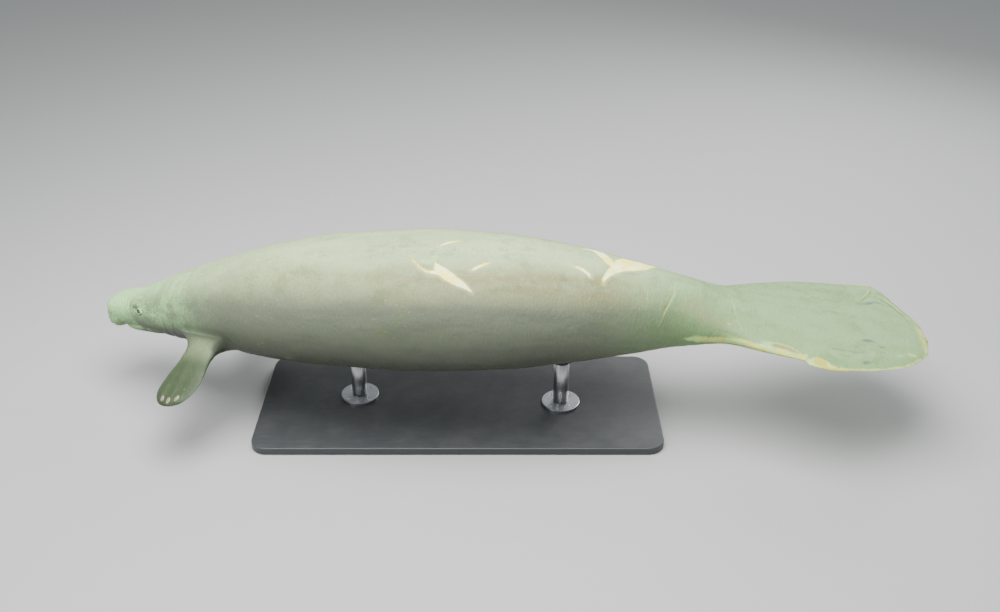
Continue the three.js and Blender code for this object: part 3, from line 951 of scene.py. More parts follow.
FLIPPER_SECTIONS = (
    Section(0.0, 78, 44, 44, 2.0),
    Section(0.25, 68, 36, 36, 2.0),
    Section(0.45, 68, 27, 27, 1.9),
    Section(0.65, 82, 20, 20, 1.8),
    Section(0.82, 89, 15, 15, 1.75),
    Section(1.0, 86, 9, 9, 1.8),
)
NAILS = ((0.93, 58.0), (0.955, 90.0), (0.93, 122.0))
FLIPPER_POSES = {
    Side.LEFT: FlipperPose((4, 20), (0, 8), 6),
    Side.RIGHT: FlipperPose((26, 44), (6, 18), 18),
}


class Flipper(Loft):
    """One flipper, from inside the chest to its tip."""

    LENGTH = 0.39
    AT, ABOVE, SUNK = 0.156, -32.0, 0.085
    END_OVER, END_POWER = 0.27, 2.4
    TIP_OVER, TIP_POWER = 0.07, 2.2

    def __init__(self, body: Body, side: Side) -> None:
        """Hangs the flipper's middle line on the chest.

        Args:
            body: The body that carries it.
            side: The side it is on.
        """
        self.side, self.pose = side, FLIPPER_POSES[side]
        _, self.tailwards, self.rightwards, self.upwards = (p[0] for p in body.frame(np.array([self.AT])))
        chest = body.plain(np.array([self.AT]), np.radians([side.angle(self.ABOVE)]))[0]
        root = chest - self.direction(np.array([0.0]))[0] * self.SUNK
        super().__init__(FLIPPER_SECTIONS, self.LENGTH, root)

    def direction(self, at: Array) -> Array:
        """The flipper's direction, towards its tip.

        Args:
            at: Shares of the length.

        Returns:
            The directions.
        """
        droop = np.radians(np.interp(at, (0, 1), self.pose.droop))[..., None]
        sweep = np.radians(np.interp(at, (0, 1), self.pose.sweep))[..., None]
        out = self.rightwards * self.side.value * np.cos(droop) * np.cos(sweep)
        return out - self.tailwards * np.cos(droop) * np.sin(sweep) - self.upwards * np.sin(droop)

    def across(self, at: Array, along: Array) -> Array:
        """The blade's chord, turned by its twist.

        Args:
            at: Shares of the length; not used.
            along: The middle line's directions there.

        Returns:
            The directions.
        """
        chord = unit(np.cross(self.upwards, along))
        twist = -self.side.value * math.radians(self.pose.twist)
        return chord * math.cos(twist) + np.cross(along, chord) * math.sin(twist)

    def ends(self, at: Array, angle: Array) -> tuple[Array, Array]:
        """The tip is round in plan and thins out."""
        wide = rounded_end(1 - (1 - at) / self.END_OVER, self.END_POWER)
        return wide, rounded_end(1 - (1 - at) / self.TIP_OVER, self.TIP_POWER)

    def height(self, spot: Spot) -> Array:
        """Soft finger ridges, wrinkles across the wrist, beds of the nails and small lumps.

        Args:
            spot: Places of the bare surface.

        Returns:
            Heights in metres.
        """
        flat = np.cos(spot.angle)
        fingers = band(0.45, 0.7, 0.9, 1.0, spot.at) * (1 - flat**6)
        wobble = cloud(spot.point, 0.06, 2, seed=11.0)
        total = 0.9 * np.cos(flat * 9.5) * fingers
        wrist = band(0.22, 0.34, 0.46, 0.62, spot.at)
        total += 0.7 * np.sin(spot.at * 150 + 6 * wobble) * wrist
        total += 0.6 * wobble - 0.8
        for nail in NAILS:
            seat = seat_on(self, *nail)
            gap = np.linalg.norm(spot.point - seat.point, axis=-1) / MM
            total += 1.3 * bell(gap - 15, 5.0) * (spot.normal @ seat.out > 0)
        return total * MM


def turn_from(side: Side, angle: Array) -> Array:
    """How many degrees round the body angles in radians lie from the root of one flipper."""
    return (np.degrees(angle) - side.angle(Flipper.ABOVE) + 180) % 360 - 180


# The skin


@dataclass(frozen=True)
class Fine:
    """A part of the skin with a finer mesh: whether each point is in it, and how many times it is split."""

    inside: Test
    times: int


@dataclass
class Skin:
    """The one skin of the animal, from the lips to the tail, with both flippers drawn out of it."""

    MARK_SCALE = 100

    body: Body
    flippers: dict[Side, Flipper]
    sectors: int = 144
    patch_at: tuple[float, float] = (0.126, 0.187)
    patch_half: float = 22.5
    flipper_rings: int = 66
    blended_rings: int = 7
    soft_rings: int = 9
    soft_body_rings: int = 4
    soft_rounds: int = 14
    nodes: tuple[str, ...] = (
        "muzzle", "head", "lower_jaw", "neck", "torso_front", "torso_middle", "torso_rear", "tail_stock",
        "tail_paddle", "flipper_left", "flipper_right",
    )

    def ring_places(self) -> Array:
        """The shares of the length at which the skin has its rings, closest at the snout and the tip.

        Returns:
            The places, rising from 0 to 1.
        """
        snout = Body.SNOUT_OVER * (1 - np.cos(np.linspace(0, math.pi / 2, 27)))
        tip = 1 - Body.PADDLE_OVER * (1 - np.sin(np.linspace(0, math.pi / 2, 60)))
        steps = ((0.018, 0.06, 42), (0.06, 0.11, 38), (0.11, 0.2, 46), (0.2, 0.7, 140), (0.7, 0.885, 66))
        spans = [np.linspace(low, high, count + 1)[1:] for low, high, count in steps]
        return np.concatenate([snout, *spans, tip[1:]])

    def fine_parts(self) -> list[Fine]:
        """Where the mesh is finer: round eyes, nostrils, ears and lips, over thin marks and at the notch.

        Returns:
            The parts, in the order in which they are split.
        """
        body = self.body

        def near(seat: Seat, radius: float) -> Test:
            """A test for points within a radius of a seat, in metres."""
            return lambda at, angle: np.linalg.norm(body.plain(at, angle) - seat.point, axis=-1) < radius

        def beside(kind: Mark, reach: float) -> Test:
            """A test for points on or near one kind of mark, within a reach in metres."""
            return lambda at, angle: body.distance_to(kind, body.plain(at, angle)) < reach

        parts = [Fine(lambda at, angle: body.mouth_gap(body.spot(at, angle)) < 7 * MM, 1)]
        for side in Side:
            parts += [Fine(near(body.eyes[side], 0.031), 1), Fine(near(body.eyes[side], 0.017), 1)]
            parts += [Fine(near(body.nostrils[side], 0.020), 1), Fine(near(body.nostrils[side], 0.014), 1)]
            parts.append(Fine(near(body.ears[side], 0.007), 2))
        for kind, reach in ((Mark.SCARS, 7 * MM), (Mark.LINES, 12 * MM), (Mark.LINES, 6 * MM)):
            parts.append(Fine(beside(kind, reach), 1))
        parts.append(Fine(lambda at, angle: (np.abs(at - Body.NOTCH_AT) < 0.012) & (np.cos(angle) < -0.9), 2))
        return parts

    def shares(self, mesh: Mesh) -> tuple[Array, Array]:
        """The share of the length and the angle of each corner of the flat grid.

        Args:
            mesh: The flat grid.

        Returns:
            The shares of the length and the angles in radians.
        """
        flat = np.array([vert.co[:2] for vert in mesh.verts])
        knots = np.linspace(0, 1, len(self.ring_places()))
        return np.interp(flat[:, 0], knots, self.ring_places()), (flat[:, 1] - 0.25) * 2 * math.pi

    def flat_grid(self) -> Mesh:
        """The flat grid of rings and sectors, finer where the skin has small forms.

        Returns:
            The grid, in a square with sides of one metre.
        """
        mesh = bmesh.new()
        rings = len(self.ring_places()) - 1
        bmesh.ops.create_grid(mesh, x_segments=rings, y_segments=self.sectors, size=1.0)
        bmesh.ops.translate(mesh, verts=mesh.verts, vec=(1, 1, 0))
        bmesh.ops.scale(mesh, verts=mesh.verts, vec=(0.5, 0.5, 1))
        for part in self.fine_parts():
            for _ in range(part.times):
                at, angle = self.shares(mesh)
                inside = part.inside(at, angle)
                mesh.verts.index_update()
                edges = [e for e in mesh.edges if inside[e.verts[0].index] and inside[e.verts[1].index]]
                bmesh.ops.subdivide_edges(mesh, edges=edges, cuts=1, use_grid_fill=True)
        return mesh

    def in_patch(self, at: float, angle: float, side: Side) -> bool:
        """Whether a place lies in the rectangle that one flipper grows from."""
        return self.patch_at[0] < at < self.patch_at[1] and abs(turn_from(side, angle)) < self.patch_half

    def build(self) -> Piece:
        """Makes the skin as one closed mesh.

        Returns:
            The finished object, with the masks that its material reads.
        """
        mesh = self.flat_grid()
        for name in ("share", "limb"):
            mesh.verts.layers.float.new(name)
        layers = mesh.verts.layers.float
        share_of, limb = layers["share"], layers["limb"]
        at, angle = self.shares(mesh)
        mesh.verts.index_update()
        holes = self.cut_patches(mesh, at, angle)
        at, angle = self.shares(mesh)
        poles: dict[int, list[Vert]] = {}
        for vert, share, point in zip(mesh.verts, at, self.body.surface(at, angle)):
            end = 1 if vert.co.x < 1e-6 else 2 if vert.co.x > 1 - 1e-6 else 0
            if end:
                poles.setdefault(end, []).append(vert)
            vert.tag = not end and min(vert.co.y, 1 - vert.co.y) < 1e-6
            vert.co = point
            vert[share_of] = share
        for side, loop in holes.items():
            self.draw_out(mesh, side, loop, limb)
        seam = [vert for vert in mesh.verts if vert.tag]
        for verts in poles.values():
            middle = np.mean([vert.co for vert in verts], axis=0).tolist()
            bmesh.ops.pointmerge(mesh, verts=verts, merge_co=middle)
        bmesh.ops.remove_doubles(mesh, verts=seam, dist=2e-6)
        bmesh.ops.recalc_face_normals(mesh, faces=mesh.faces)
        piece = finished("skin", mesh)
        self.add_masks(piece)
        return piece

    def cut_patches(
        self, mesh: Mesh, at: Array, angle: Array
    ) -> dict[Side, list[Vert]]:
        """Deletes the faces where the flippers grow.

        Args:
            mesh: The flat grid.
            at: The share of the length of each vertex.
            angle: The angle of each vertex.

        Returns:
            The vertices round each hole, in order.
        """
        holes = {}
        for side in Side:
            marked = [self.in_patch(at[v.index], angle[v.index], side) for v in mesh.verts]
            faces = [face for face in mesh.faces if all(marked[v.index] for v in face.verts)]
            cut = set(faces)
            rim = {e for face in faces for e in face.edges if not cut.issuperset(e.link_faces)}
            holes[side] = (faces, rim)
        loops = {}
        for side, (faces, rim) in holes.items():
            bmesh.ops.delete(mesh, geom=faces, context="FACES")
            loops[side] = walk_round([e for e in rim if e.is_valid])
        return loops

    def draw_out(
        self, mesh: Mesh, side: Side, loop: list[Vert],
        limb: bmesh.types.BMLayerItem,
    ) -> None:
        """Draws one flipper out of its hole, ring by ring, and softens its root.

        Args:
            mesh: The skin's mesh, in place.
            side: The flipper's side.
            loop: The vertices round the hole, in order.
            limb: The layer that keeps the share of the flipper's length.
        """
        flipper = self.flippers[side]
        edge = np.array([vert.co for vert in loop])
        phi = self.angles_round(flipper, edge)
        root = self.leaving_shares(flipper, phi)
        rings = [loop]
        for k in range(1, self.flipper_rings + 1):
            share = root + (1 - root) * math.sin(math.pi / 2 * k / self.flipper_rings)
            blend = min(1.0, float(smooth_step(0, self.blended_rings, np.array(k))) + 0.12)
            points = edge * (1 - blend) + flipper.surface(share, phi) * blend
            rings.append(self.next_ring(mesh, rings[-1]))
            for vert, point, t in zip(rings[-1], points, share):
                vert.co = point
                vert[limb] = t
                vert.tag = False
        tip = np.mean([vert.co for vert in rings[-1]], axis=0).tolist()
        bmesh.ops.pointmerge(mesh, verts=rings[-1], merge_co=tip)
        near = set(loop)
        for _ in range(self.soft_body_rings):
            near |= {edge.other_vert(vert) for vert in near for edge in vert.link_edges}
        soft = list(near.union(*rings[:self.soft_rings]))
        axes = {"use_axis_x": True, "use_axis_y": True, "use_axis_z": True}
        for _ in range(self.soft_rounds):
            bmesh.ops.smooth_vert(mesh, verts=soft, factor=0.5, **axes)

    @staticmethod
    def next_ring(mesh: Mesh, ring: list[Vert]) -> list[Vert]:
        """Extrudes a closed ring of vertices once and returns the new ring in the same order.

        Args:
            mesh: The skin's mesh.
            ring: The ring of vertices.

        Returns:
            The new ring.
        """
        edges = [mesh.edges.get((a, b)) for a, b in zip(ring, ring[1:] + ring[:1])]
        made = bmesh.ops.extrude_edge_only(mesh, edges=edges)["geom"]
        new = {item for item in made if isinstance(item, Vert)}
        return [next(e.other_vert(v) for e in v.link_edges if e.other_vert(v) in new) for v in ring]

    @staticmethod
    def angles_round(flipper: Flipper, edge: Array) -> Array:
        """The angle round the flipper at which each point of the hole's edge lies.

        Args:
            flipper: The flipper.
            edge: The points of the edge, in order.

        Returns:
            The angles in radians, without a jump.
        """
        start, along = flipper.line[0], flipper.direction(np.array(0.1))
        share = np.clip((edge - start) @ along / flipper.length, 0, 1)
        point, _, across, up = flipper.frame(share)
        size = {name: flipper.columns[name](share) for name in ("side", "top")}
        phi = np.arctan2(dot(edge - point, up) / size["top"], dot(edge - point, across) / size["side"])
        return np.unwrap(phi)

    def leaving_shares(self, flipper: Flipper, phi: Array) -> Array:
        """The share of the flipper's length at which it leaves the body, at each angle.

        Args:
            flipper: The flipper.
            phi: The angles in radians.

        Returns:
            One share per angle.
        """
        shares = np.linspace(0.02, 0.6, 59)
        left = np.ones_like(phi) * shares[-1]
        places = np.linspace(0.11, 0.21, 101)
        points, _, across, up = self.body.frame(places)
        for share in shares[::-1]:
            ring = flipper.plain(np.full_like(phi, share), phi)
            nearest = np.argmin(np.linalg.norm(ring[:, None] - points[None], axis=-1), axis=1)
            shift = ring - points[nearest]
            x, z = dot(shift, across[nearest]), dot(shift, up[nearest])
            at = places[nearest]
            tall = np.where(z > 0, self.body.columns["top"](at), self.body.columns["under"](at)) * MM
            square = self.body.columns["square"](at)
            ratio = np.abs(x / (self.body.columns["side"](at) * MM)) ** square + np.abs(z / tall) ** square
            left = np.where(ratio > 1, share, left)
        return left + 0.012

    def add_masks(self, piece: Piece) -> None:
        """Writes the masks that the hide reads, one value per vertex.

        Args:
            piece: The skin's object.
        """
        data = piece.data
        count = len(data.vertices)
        point, normal = np.empty(count * 3), np.empty(count * 3)
        data.vertices.foreach_get("co", point)
        data.vertices.foreach_get("normal", normal)
        point, level = point.reshape(-1, 3), normal.reshape(-1, 3)[:, 2]
        at, limb = np.empty(count), np.empty(count)
        data.attributes["share"].data.foreach_get("value", at)
        data.attributes["limb"].data.foreach_get("value", limb)
        body = self.body
        on_body = limb < 0.01
        middle, _, across, up = body.frame(at)
        angle = np.arctan2(dot(point - middle, up), dot(point - middle, across))
        spread = np.abs(dot(point - middle, across)) / MM
        wide = body.columns["side"](at) * body.ends(at, angle)[0]
        near_edge = smooth_step(9, 1, wide - spread) * smooth_step(0.74, 0.78, at)
        near_tip = smooth_step(0.985, 0.998, at)
        masks = {
            # painted light: where the skin faces up, which the hide paints paler and greener
            "high": smooth_step(0.48, 1.02, level),
            # painted shade: where the skin faces down, less towards the tail, which the hide paints darker
            "low": smooth_step(0.34, -0.6, level) * (1 - 0.85 * smooth_step(0.54, 0.66, at)),
            "warm": band(0.1, 0.46, 0.6, 0.72, at) * on_body * band(0.45, 0.8, 0.86, 1.0, level),
            # painted shade: the flanks, where the hide paints darker streaks like the shade of rippling water
            "flank": band(0.2, 0.3, 0.6, 0.7, at) * on_body * band(-0.5, -0.1, 0.4, 0.7, level),
            "head": smooth_step(0.2, 0.07, at) * on_body * smooth_step(-0.5, 0.3, level),
            "tail": smooth_step(0.60, 0.75, at) * on_body,
            "edge": np.maximum(near_edge * 0.6, near_tip) * on_body,
            "muzzle": smooth_step(0.052, 0.036, at + 0.004 * np.sin(angle)) * on_body,
            "limb_mask": smooth_step(0.08, 0.6, limb),
        }
        for kind in Mark:
            masks[kind.value] = body.distance_to(kind, point) * self.MARK_SCALE
        for name, values in masks.items():
            data.attributes.new(name, "FLOAT", "POINT").data.foreach_set("value", values)


def walk_round(edges: Sequence[bmesh.types.BMEdge]) -> list[Vert]:
    """The vertices of a closed loop of edges, in order.

    Args:
        edges: The edges of the loop.

    Returns:
        The vertices.
    """
    left = set(edges)
    edge = left.pop()
    ring = [edge.verts[0], edge.verts[1]]
    while left:
        edge = next(e for e in ring[-1].link_edges if e in left)
        left.remove(edge)
        ring.append(edge.other_vert(ring[-1]))
    return ring[:-1]


# Making pieces


def finished(name: str, mesh: Mesh, smooth: bool = True) -> Piece:
    """Turns a bmesh into an object at the origin.

    Args:
        name: The piece's name.
        mesh: The mesh, in place and in metres. It is freed.
        smooth: Whether its faces are shaded smooth.

    Returns:
        The new object.
    """
    data = bpy.data.meshes.new(name)
    mesh.to_mesh(data)
    mesh.free()
    if smooth:
        data.shade_smooth()
    else:
        data.shade_flat()
    piece = bpy.data.objects.new(name, data)
    bpy.context.scene.collection.objects.link(piece)
    return piece


def place(piece: Piece, material: Material, slot: Slot, *nodes: str) -> None:
    """Dresses a piece, puts it on the body and hides the CAD nodes that it replaces.

    Args:
        piece: The finished object.
        material: Its finish.
        slot: The record's slot that the finish belongs to; not used.
        nodes: The CAD nodes that it replaces, if any.
    """
    piece.data.materials.append(material)
    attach(piece, BODY)
    if nodes:
        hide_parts(*nodes)
    log.info("%s: %d faces", piece.name, len(piece.data.polygons))


@dataclass
class Eyes:
    """The two eyeballs, dark and wet, with a slightly domed front."""

    body: Body
    dome: float = 0.4

    def build(self, side: Side) -> Piece:
        """Makes one eyeball with its pole in the middle of the pupil.

        Args:
            side: The animal's side.

        Returns:
            The eyeball.
        """
        face = self.body.face
        radius = face.eye_radius * MM
        mesh = bmesh.new()
        bmesh.ops.create_uvsphere(mesh, u_segments=40, v_segments=32, radius=radius)
        ring = mesh.verts.layers.float.new("ring")
        for vert in mesh.verts:
            from_pole = math.acos(max(-1.0, min(1.0, vert.co.z / radius)))
            vert[ring] = from_pole
            vert.co *= 1 + self.dome * MM / radius * math.exp(-((from_pole / 0.45) ** 2))
        bmesh.ops.transform(mesh, matrix=self.body.eyes[side].matrix(face.eye_sunk * MM), verts=mesh.verts)
        return finished(f"eyeball_{side.word}", mesh)


@dataclass
class NailSet:
    """The three nails of one flipper."""

    flipper: Flipper
    half: tuple[float, float, float] = (12.5, 8.2, 3.9)
    sunk: float = 0.6

    def build(self) -> Piece:
        """Makes the nails as flat, rounded shells bedded in the skin.

        Returns:
            The nails as one piece.
        """
        mesh = bmesh.new()
        for at, angle in NAILS:
            made = bmesh.ops.create_uvsphere(mesh, u_segments=28, v_segments=18, radius=1.0)["verts"]
            for vert in made:
                ridge = 1 + 0.03 * math.cos(vert.co.y * 16)
                vert.co.z *= (1 - 0.22 * (vert.co.x < 0) * vert.co.x**2) * ridge
            bmesh.ops.scale(mesh, verts=made, vec=[size * MM for size in self.half])
            seat = seat_on(self.flipper, at, angle)
            bmesh.ops.transform(mesh, verts=made, matrix=seat.matrix(self.sunk * MM))
        return finished(f"nails_{self.flipper.side.word}", mesh)


@dataclass
class Hairs:
    """Tapered needles that stand on the skin. All of a piece's needles are joined into one mesh."""

    name: str
    sides: int
    rings: int
    thick: float
    root: list[Array] = field(default_factory=list)
    way: list[Array] = field(default_factory=list)
    length: list[Array] = field(default_factory=list)
    home: list[Array] = field(default_factory=list)

    PATCH = 0.003
    DROOP = 0.22
    SUNK = 0.8

    def grow(
        self, body: Body, at: Array, angle: Array, lean: Array, length: Array
    ) -> None:
        """Adds needles to the skin.

        Args:
            body: The skin's surface.
            at: The share of the length of each root.
            angle: The angle of each root in radians.
            lean: What is added to the outward direction, as rows along, across and up.
            length: Each needle's length in metres.
        """
        spot = body.spot(at, angle)
        root = body.surface(at, angle)
        _, along, across, up = body.frame(at)
        way = spot.normal + along * lean[:, :1] + across * lean[:, 1:2] + up * lean[:, 2:]
        self.root.append(root - spot.normal * self.SUNK * MM)
        self.way.append(unit(way))
        self.length.append(length)
        self.home.append(np.stack([0.01 + 0.98 * at, 0.01 + 0.98 * (angle / (2 * math.pi) % 1)], axis=-1))

    def build(self) -> Piece:
        """Joins the needles into one mesh, with a small patch of the map OFBake for each.

        Returns:
            The piece.
        """
        root, way = np.concatenate(self.root), np.concatenate(self.way)
        length, home = np.concatenate(self.length), np.concatenate(self.home)
        count, n = len(root), self.sides
        one = unit(np.cross(way, np.array([0.3, 0.2, 0.93])))
        two = np.cross(way, one)
        droop = np.array([0.0, 0, -self.DROOP])
        turn = np.linspace(0, 2 * math.pi, n, endpoint=False)[:, None]
        around = one[:, None] * np.cos(turn) + two[:, None] * np.sin(turn)
        layers = []
        for k in range(self.rings):
            share = k / self.rings
            middle = root + way * (length * share)[:, None] + droop * (length * share**2)[:, None]
            radius = self.thick * MM / 2 * (1 - share) ** 0.7
            layers.append(middle[:, None] + radius * around)
        tip = root + (way + droop) * length[:, None]
        points = np.concatenate([np.concatenate(layers, axis=1), tip[:, None]], axis=1)
        per = points.shape[1]
        pattern = []
        for j in range(n):
            after = (j + 1) % n
            for k in range(self.rings - 1):
                low, high = k * n, (k + 1) * n
                pattern.append((low + j, low + after, high + after, high + j))
            top = (self.rings - 1) * n
            pattern.append((top + j, top + after, per - 1))
        pattern.append(tuple(range(n))[::-1])
        faces = [tuple(i * per + corner for corner in face) for i in range(count) for face in pattern]
        data = bpy.data.meshes.new(self.name)
        data.from_pydata(points.reshape(-1, 3).tolist(), [], faces)
        data.shade_smooth()
        corner_root = np.empty(len(data.loops), int)
        data.loops.foreach_get("vertex_index", corner_root)
        index, corner = corner_root // per, corner_root % per
        shift = np.stack([(corner % n) / n, corner / per], axis=-1) * self.PATCH
        layer = data.uv_layers.new(name="OFBake")
        layer.data.foreach_set("uv", (home[index] + shift).ravel())
        piece = bpy.data.objects.new(self.name, data)
        bpy.context.scene.collection.objects.link(piece)
        return piece


@dataclass(frozen=True)
class HairPatch:
    """A patch of hair: its number, its spans of the length and in degrees, its lean and its lengths in mm."""

    count: int
    at: tuple[float, float]
    angle: tuple[float, float]
    lean: tuple[float, float, float]
    length: tuple[float, float]


@dataclass
class Coat:
    """The animal's hair: stout bristles on the lips, stubble round them, and sparse hair on the body."""

    body: Body
    seed: int = 11
    lip_bristles: HairPatch = HairPatch(64, (0.002, 0.024), (-62, 12), (0.3, 0.15, -0.7), (6, 16))
    lip_stubble: HairPatch = HairPatch(240, (0.001, 0.038), (-70, 48), (0.3, 0.2, -0.5), (3, 8))
    chin_stubble: HairPatch = HairPatch(150, (0.016, 0.05), (-118, -62), (-0.6, 0.2, 0.0), (3, 7))
    body_hairs: int = 1500
    bare: tuple[float, float, float] = (0.115, 0.2, 32)

    def grow(self, rng: np.random.Generator, hairs: Hairs, patch: HairPatch, side: Side | None) -> None:
        """Grows one patch.

        Args:
            rng: The source of random numbers.
            hairs: The piece that the needles join.
            patch: The patch.
            side: The side that its angles are counted from, or None for the animal's right.
        """
        count = patch.count
        span = sorted(side.angle(above) for above in patch.angle) if side else patch.angle
        at, angle = rng.uniform(*patch.at, count), np.radians(rng.uniform(*span, count))
        along, sway, up = patch.lean
        lean = np.column_stack([np.full(count, along), rng.normal(0, sway, count), np.full(count, up)])
        hairs.grow(self.body, at, angle, lean, rng.uniform(*patch.length, count) * MM)

    def build(self) -> list[Piece]:
        """Grows the bristles and the fine hair, always in the same order.

        Returns:
            The three pieces of hair.
        """
        rng = np.random.default_rng(self.seed)
        bristles = Hairs("bristles", sides=5, rings=4, thick=1.0)
        stubble = Hairs("stubble", sides=4, rings=3, thick=0.55)
        for side in Side:
            self.grow(rng, bristles, self.lip_bristles, side)
            self.grow(rng, stubble, self.lip_stubble, side)
        self.grow(rng, stubble, self.chin_stubble, None)
        return [bristles.build(), stubble.build(), self.on_body(rng)]

    def on_body(self, rng: np.random.Generator) -> Piece:
        """Grows the sparse hair, which leans tailwards and keeps off the flippers' roots.

        Args:
            rng: The source of random numbers.

        Returns:
            The piece.
        """
        fine = Hairs("body_hair", sides=3, rings=2, thick=0.4)
        at = rng.uniform(0.07, 0.93, self.body_hairs)
        angle = np.radians(rng.uniform(-90, 270, self.body_hairs))
        front, rear, half = self.bare
        keep = np.ones(len(at), bool)
        for side in Side:
            keep &= ~((at > front) & (at < rear) & (np.abs(turn_from(side, angle)) < half))
        at, angle = at[keep], angle[keep]
        count = len(at)
        lean = np.column_stack([rng.uniform(1.2, 2.4, count), rng.normal(0, 0.4, count), np.zeros(count)])
        fine.grow(self.body, at, angle, lean, rng.uniform(4, 9, count) * MM)
        return fine.build()


# The stand


@dataclass
class Stand:
    """The flat base and the two rods, with their feet and pads, in millimetres."""

    body: Body
    length: float = 1460
    width: float = 600
    thick: float = 28
    corner: float = 60
    bevel: float = 4
    rod: float = 28
    rod_ease: float = 1.2
    foot_radius: float = 70
    foot_ease: float = 2.0
    foot: float = 10
    screws: int = 4
    screw_circle: float = 50
    screw_radius: float = 6.0
    screw_head: float = 1.2
    cone: float = 26
    pad_radius: float = 56
    pad: float = 26
    shoulder: float = 10
    gap: float = 0.3
    sunk: float = 2.0
    rods: tuple[tuple[str, float], ...] = (("front", 0.325), ("rear", 0.575))

    def board(self) -> Piece:
        """Makes the base plate with round corners and eased edges.

        Returns:
            The board.
        """
        mesh = bmesh.new()
        bmesh.ops.create_cube(mesh, size=1.0)
        bmesh.ops.scale(mesh, verts=mesh.verts, vec=(self.length * MM, self.width * MM, self.thick * MM))
        bmesh.ops.translate(mesh, verts=mesh.verts, vec=(0, 0, self.thick * MM / 2))
        upright = [e for e in mesh.edges if abs(e.verts[0].co.z - e.verts[1].co.z) > self.thick * MM / 2]
        bevel(mesh, upright, self.corner, 14)
        level = [e for e in mesh.edges if e.verts[0].co.z == e.verts[1].co.z and e.calc_face_angle(0) > 1]
        bevel(mesh, level, self.bevel, 4)
        return finished("board", mesh, smooth=False)

    def turned(self, at: float, profile: Sequence[tuple[float, float]]) -> Mesh:
        """Turns a form under a place of the spine.

        Args:
            at: The share of the body's length.
            profile: Its radii at its heights in millimetres, from below.

        Returns:
            The form's mesh.
        """
        x, y, _ = self.body.middle(np.array(at))
        mesh = bmesh.new()
        verts = [mesh.verts.new((x + r * MM, y, z * MM)) for r, z in profile]
        edges = [mesh.edges.new(pair) for pair in zip(verts, verts[1:])]
        whole = {"cent": (x, y, 0), "axis": (0, 0, 1), "angle": 2 * math.pi}
        bmesh.ops.spin(mesh, geom=verts + edges, **whole, steps=64, use_merge=True)
        bmesh.ops.remove_doubles(mesh, verts=mesh.verts, dist=1e-6)
        bmesh.ops.recalc_face_normals(mesh, faces=mesh.faces)
        return mesh

    def foot_plate(self, name: str, at: float) -> Piece:
        """Makes a round foot with an eased edge and sunk screws.

        Args:
            name: The rod's end of the stand.
            at: The rod's share of the body's length.

        Returns:
            The foot.
        """
        low = self.thick + self.gap
        high = low + self.foot
        r, e = self.foot_radius, self.foot_ease
        edge = [(r, low), (r, high - e), (r - 0.3 * e, high - 0.3 * e), (r - e, high)]
        mesh = self.turned(at, [(0, low), *edge, (0, high)])
        x, y, _ = self.body.middle(np.array(at))
        for k in range(self.screws):
            angle = 2 * math.pi * (k + 0.5) / self.screws
            out = self.screw_circle * MM
            level = (high + self.screw_head / 2) * MM
            self.screw(mesh, Vector((x + math.cos(angle) * out, y + math.sin(angle) * out, level)))
        return finished(f"foot_{name}", mesh, smooth=False)

    def screw(self, mesh: Mesh, middle: Vector) -> None:
        """Adds one screw head with a round socket.

        Args:
            mesh: The foot's mesh.
            middle: The middle of the head.
        """
        sides = 24
        made = bmesh.ops.create_cone(
            mesh, cap_ends=True, segments=sides, matrix=Matrix.Translation(middle),
            radius1=self.screw_radius * MM, radius2=(self.screw_radius - 0.8) * MM,
            depth=self.screw_head * MM,
        )["verts"]
        ends = [face for face in mesh.faces if len(face.verts) == sides and set(face.verts) <= set(made)]
        top = [face for face in ends if face.calc_center_median().z > middle.z]
        bmesh.ops.inset_individual(mesh, faces=top, thickness=2.6 * MM, depth=0.0)
        bmesh.ops.translate(mesh, verts=top[0].verts, vec=(0, 0, -0.9 * MM))

    def bar(self, name: str, at: float) -> Piece:
        """Makes a round bar with eased ends.

        Args:
            name: The rod's end of the stand.
            at: The rod's share of the body's length.

        Returns:
            The bar.
        """
        low = self.thick + self.foot + 2 * self.gap
        high = self.pad_from(at) - self.cone - self.gap
        r, e = self.rod, self.rod_ease
        profile = [(0, low), (r - e, low), (r, low + e), (r, high - e), (r - e, high), (0, high)]
        return finished(f"rod_{name}", self.turned(at, profile))

    def pad_from(self, at: float) -> float:
        """The height in millimetres at which a pad's cone ends."""
        under = float(self.body.columns["under"](np.array(at)))
        return self.body.middle(np.array(at))[2] / MM - under - self.pad

    def rest(self, name: str, at: float) -> Piece:
        """Makes a rubber pad whose top is cut to the belly.

        Args:
            name: The rod's end of the stand.
            at: The rod's share of the body's length.

        Returns:
            The pad.
        """
        base = self.pad_from(at)
        start, top, shoulder = base - self.cone, base + self.pad, base + self.shoulder
        r, rod = self.pad_radius, self.rod
        cone = [(0, start), (rod, start), (rod + 3, base - self.cone * 0.82)]
        wall = [(r - 4, base - 5), (r - 1, base - 2), (r, base + 2), (r, shoulder)]
        profile = [*cone, *wall, *((out, top) for out in (r, r - 3, r - 12, r - 28, 0))]
        mesh = self.turned(at, profile)
        centre = Vector(self.body.middle(np.array(at)))
        below = self.shoulder + self.sunk
        upper = [v for v in mesh.verts if v.co.z > (top - 1) * MM]
        lower = [v for v in mesh.verts if abs(v.co.z - shoulder * MM) < 1e-5]
        for verts, drop in ((upper, 0), (lower, below)):
            for vert in verts:
                vert.co.z = self.belly_height(at, vert.co - centre) - drop * MM
        return finished(f"pad_{name}", mesh)

    def belly_height(self, at: float, shift: Vector) -> float:
        """The height of a pad's top near a rod's middle, a little inside the belly's skin.

        Args:
            at: The rod's share of the body's length.
            shift: The way from the spine over the rod to the place.

        Returns:
            The height in metres.
        """
        place_at = np.array(at + shift.x / Body.LENGTH)
        middle = self.body.middle(place_at)
        size = {name: float(self.body.columns[name](place_at)) for name in ("side", "under", "square")}
        out = abs(shift.y + self.body.middle(np.array(at))[1] - middle[1]) / (size["side"] * MM)
        left = (1 - out ** size["square"]) ** (1 / size["square"])
        return float(middle[2] - size["under"] * MM * left) + self.sunk * MM


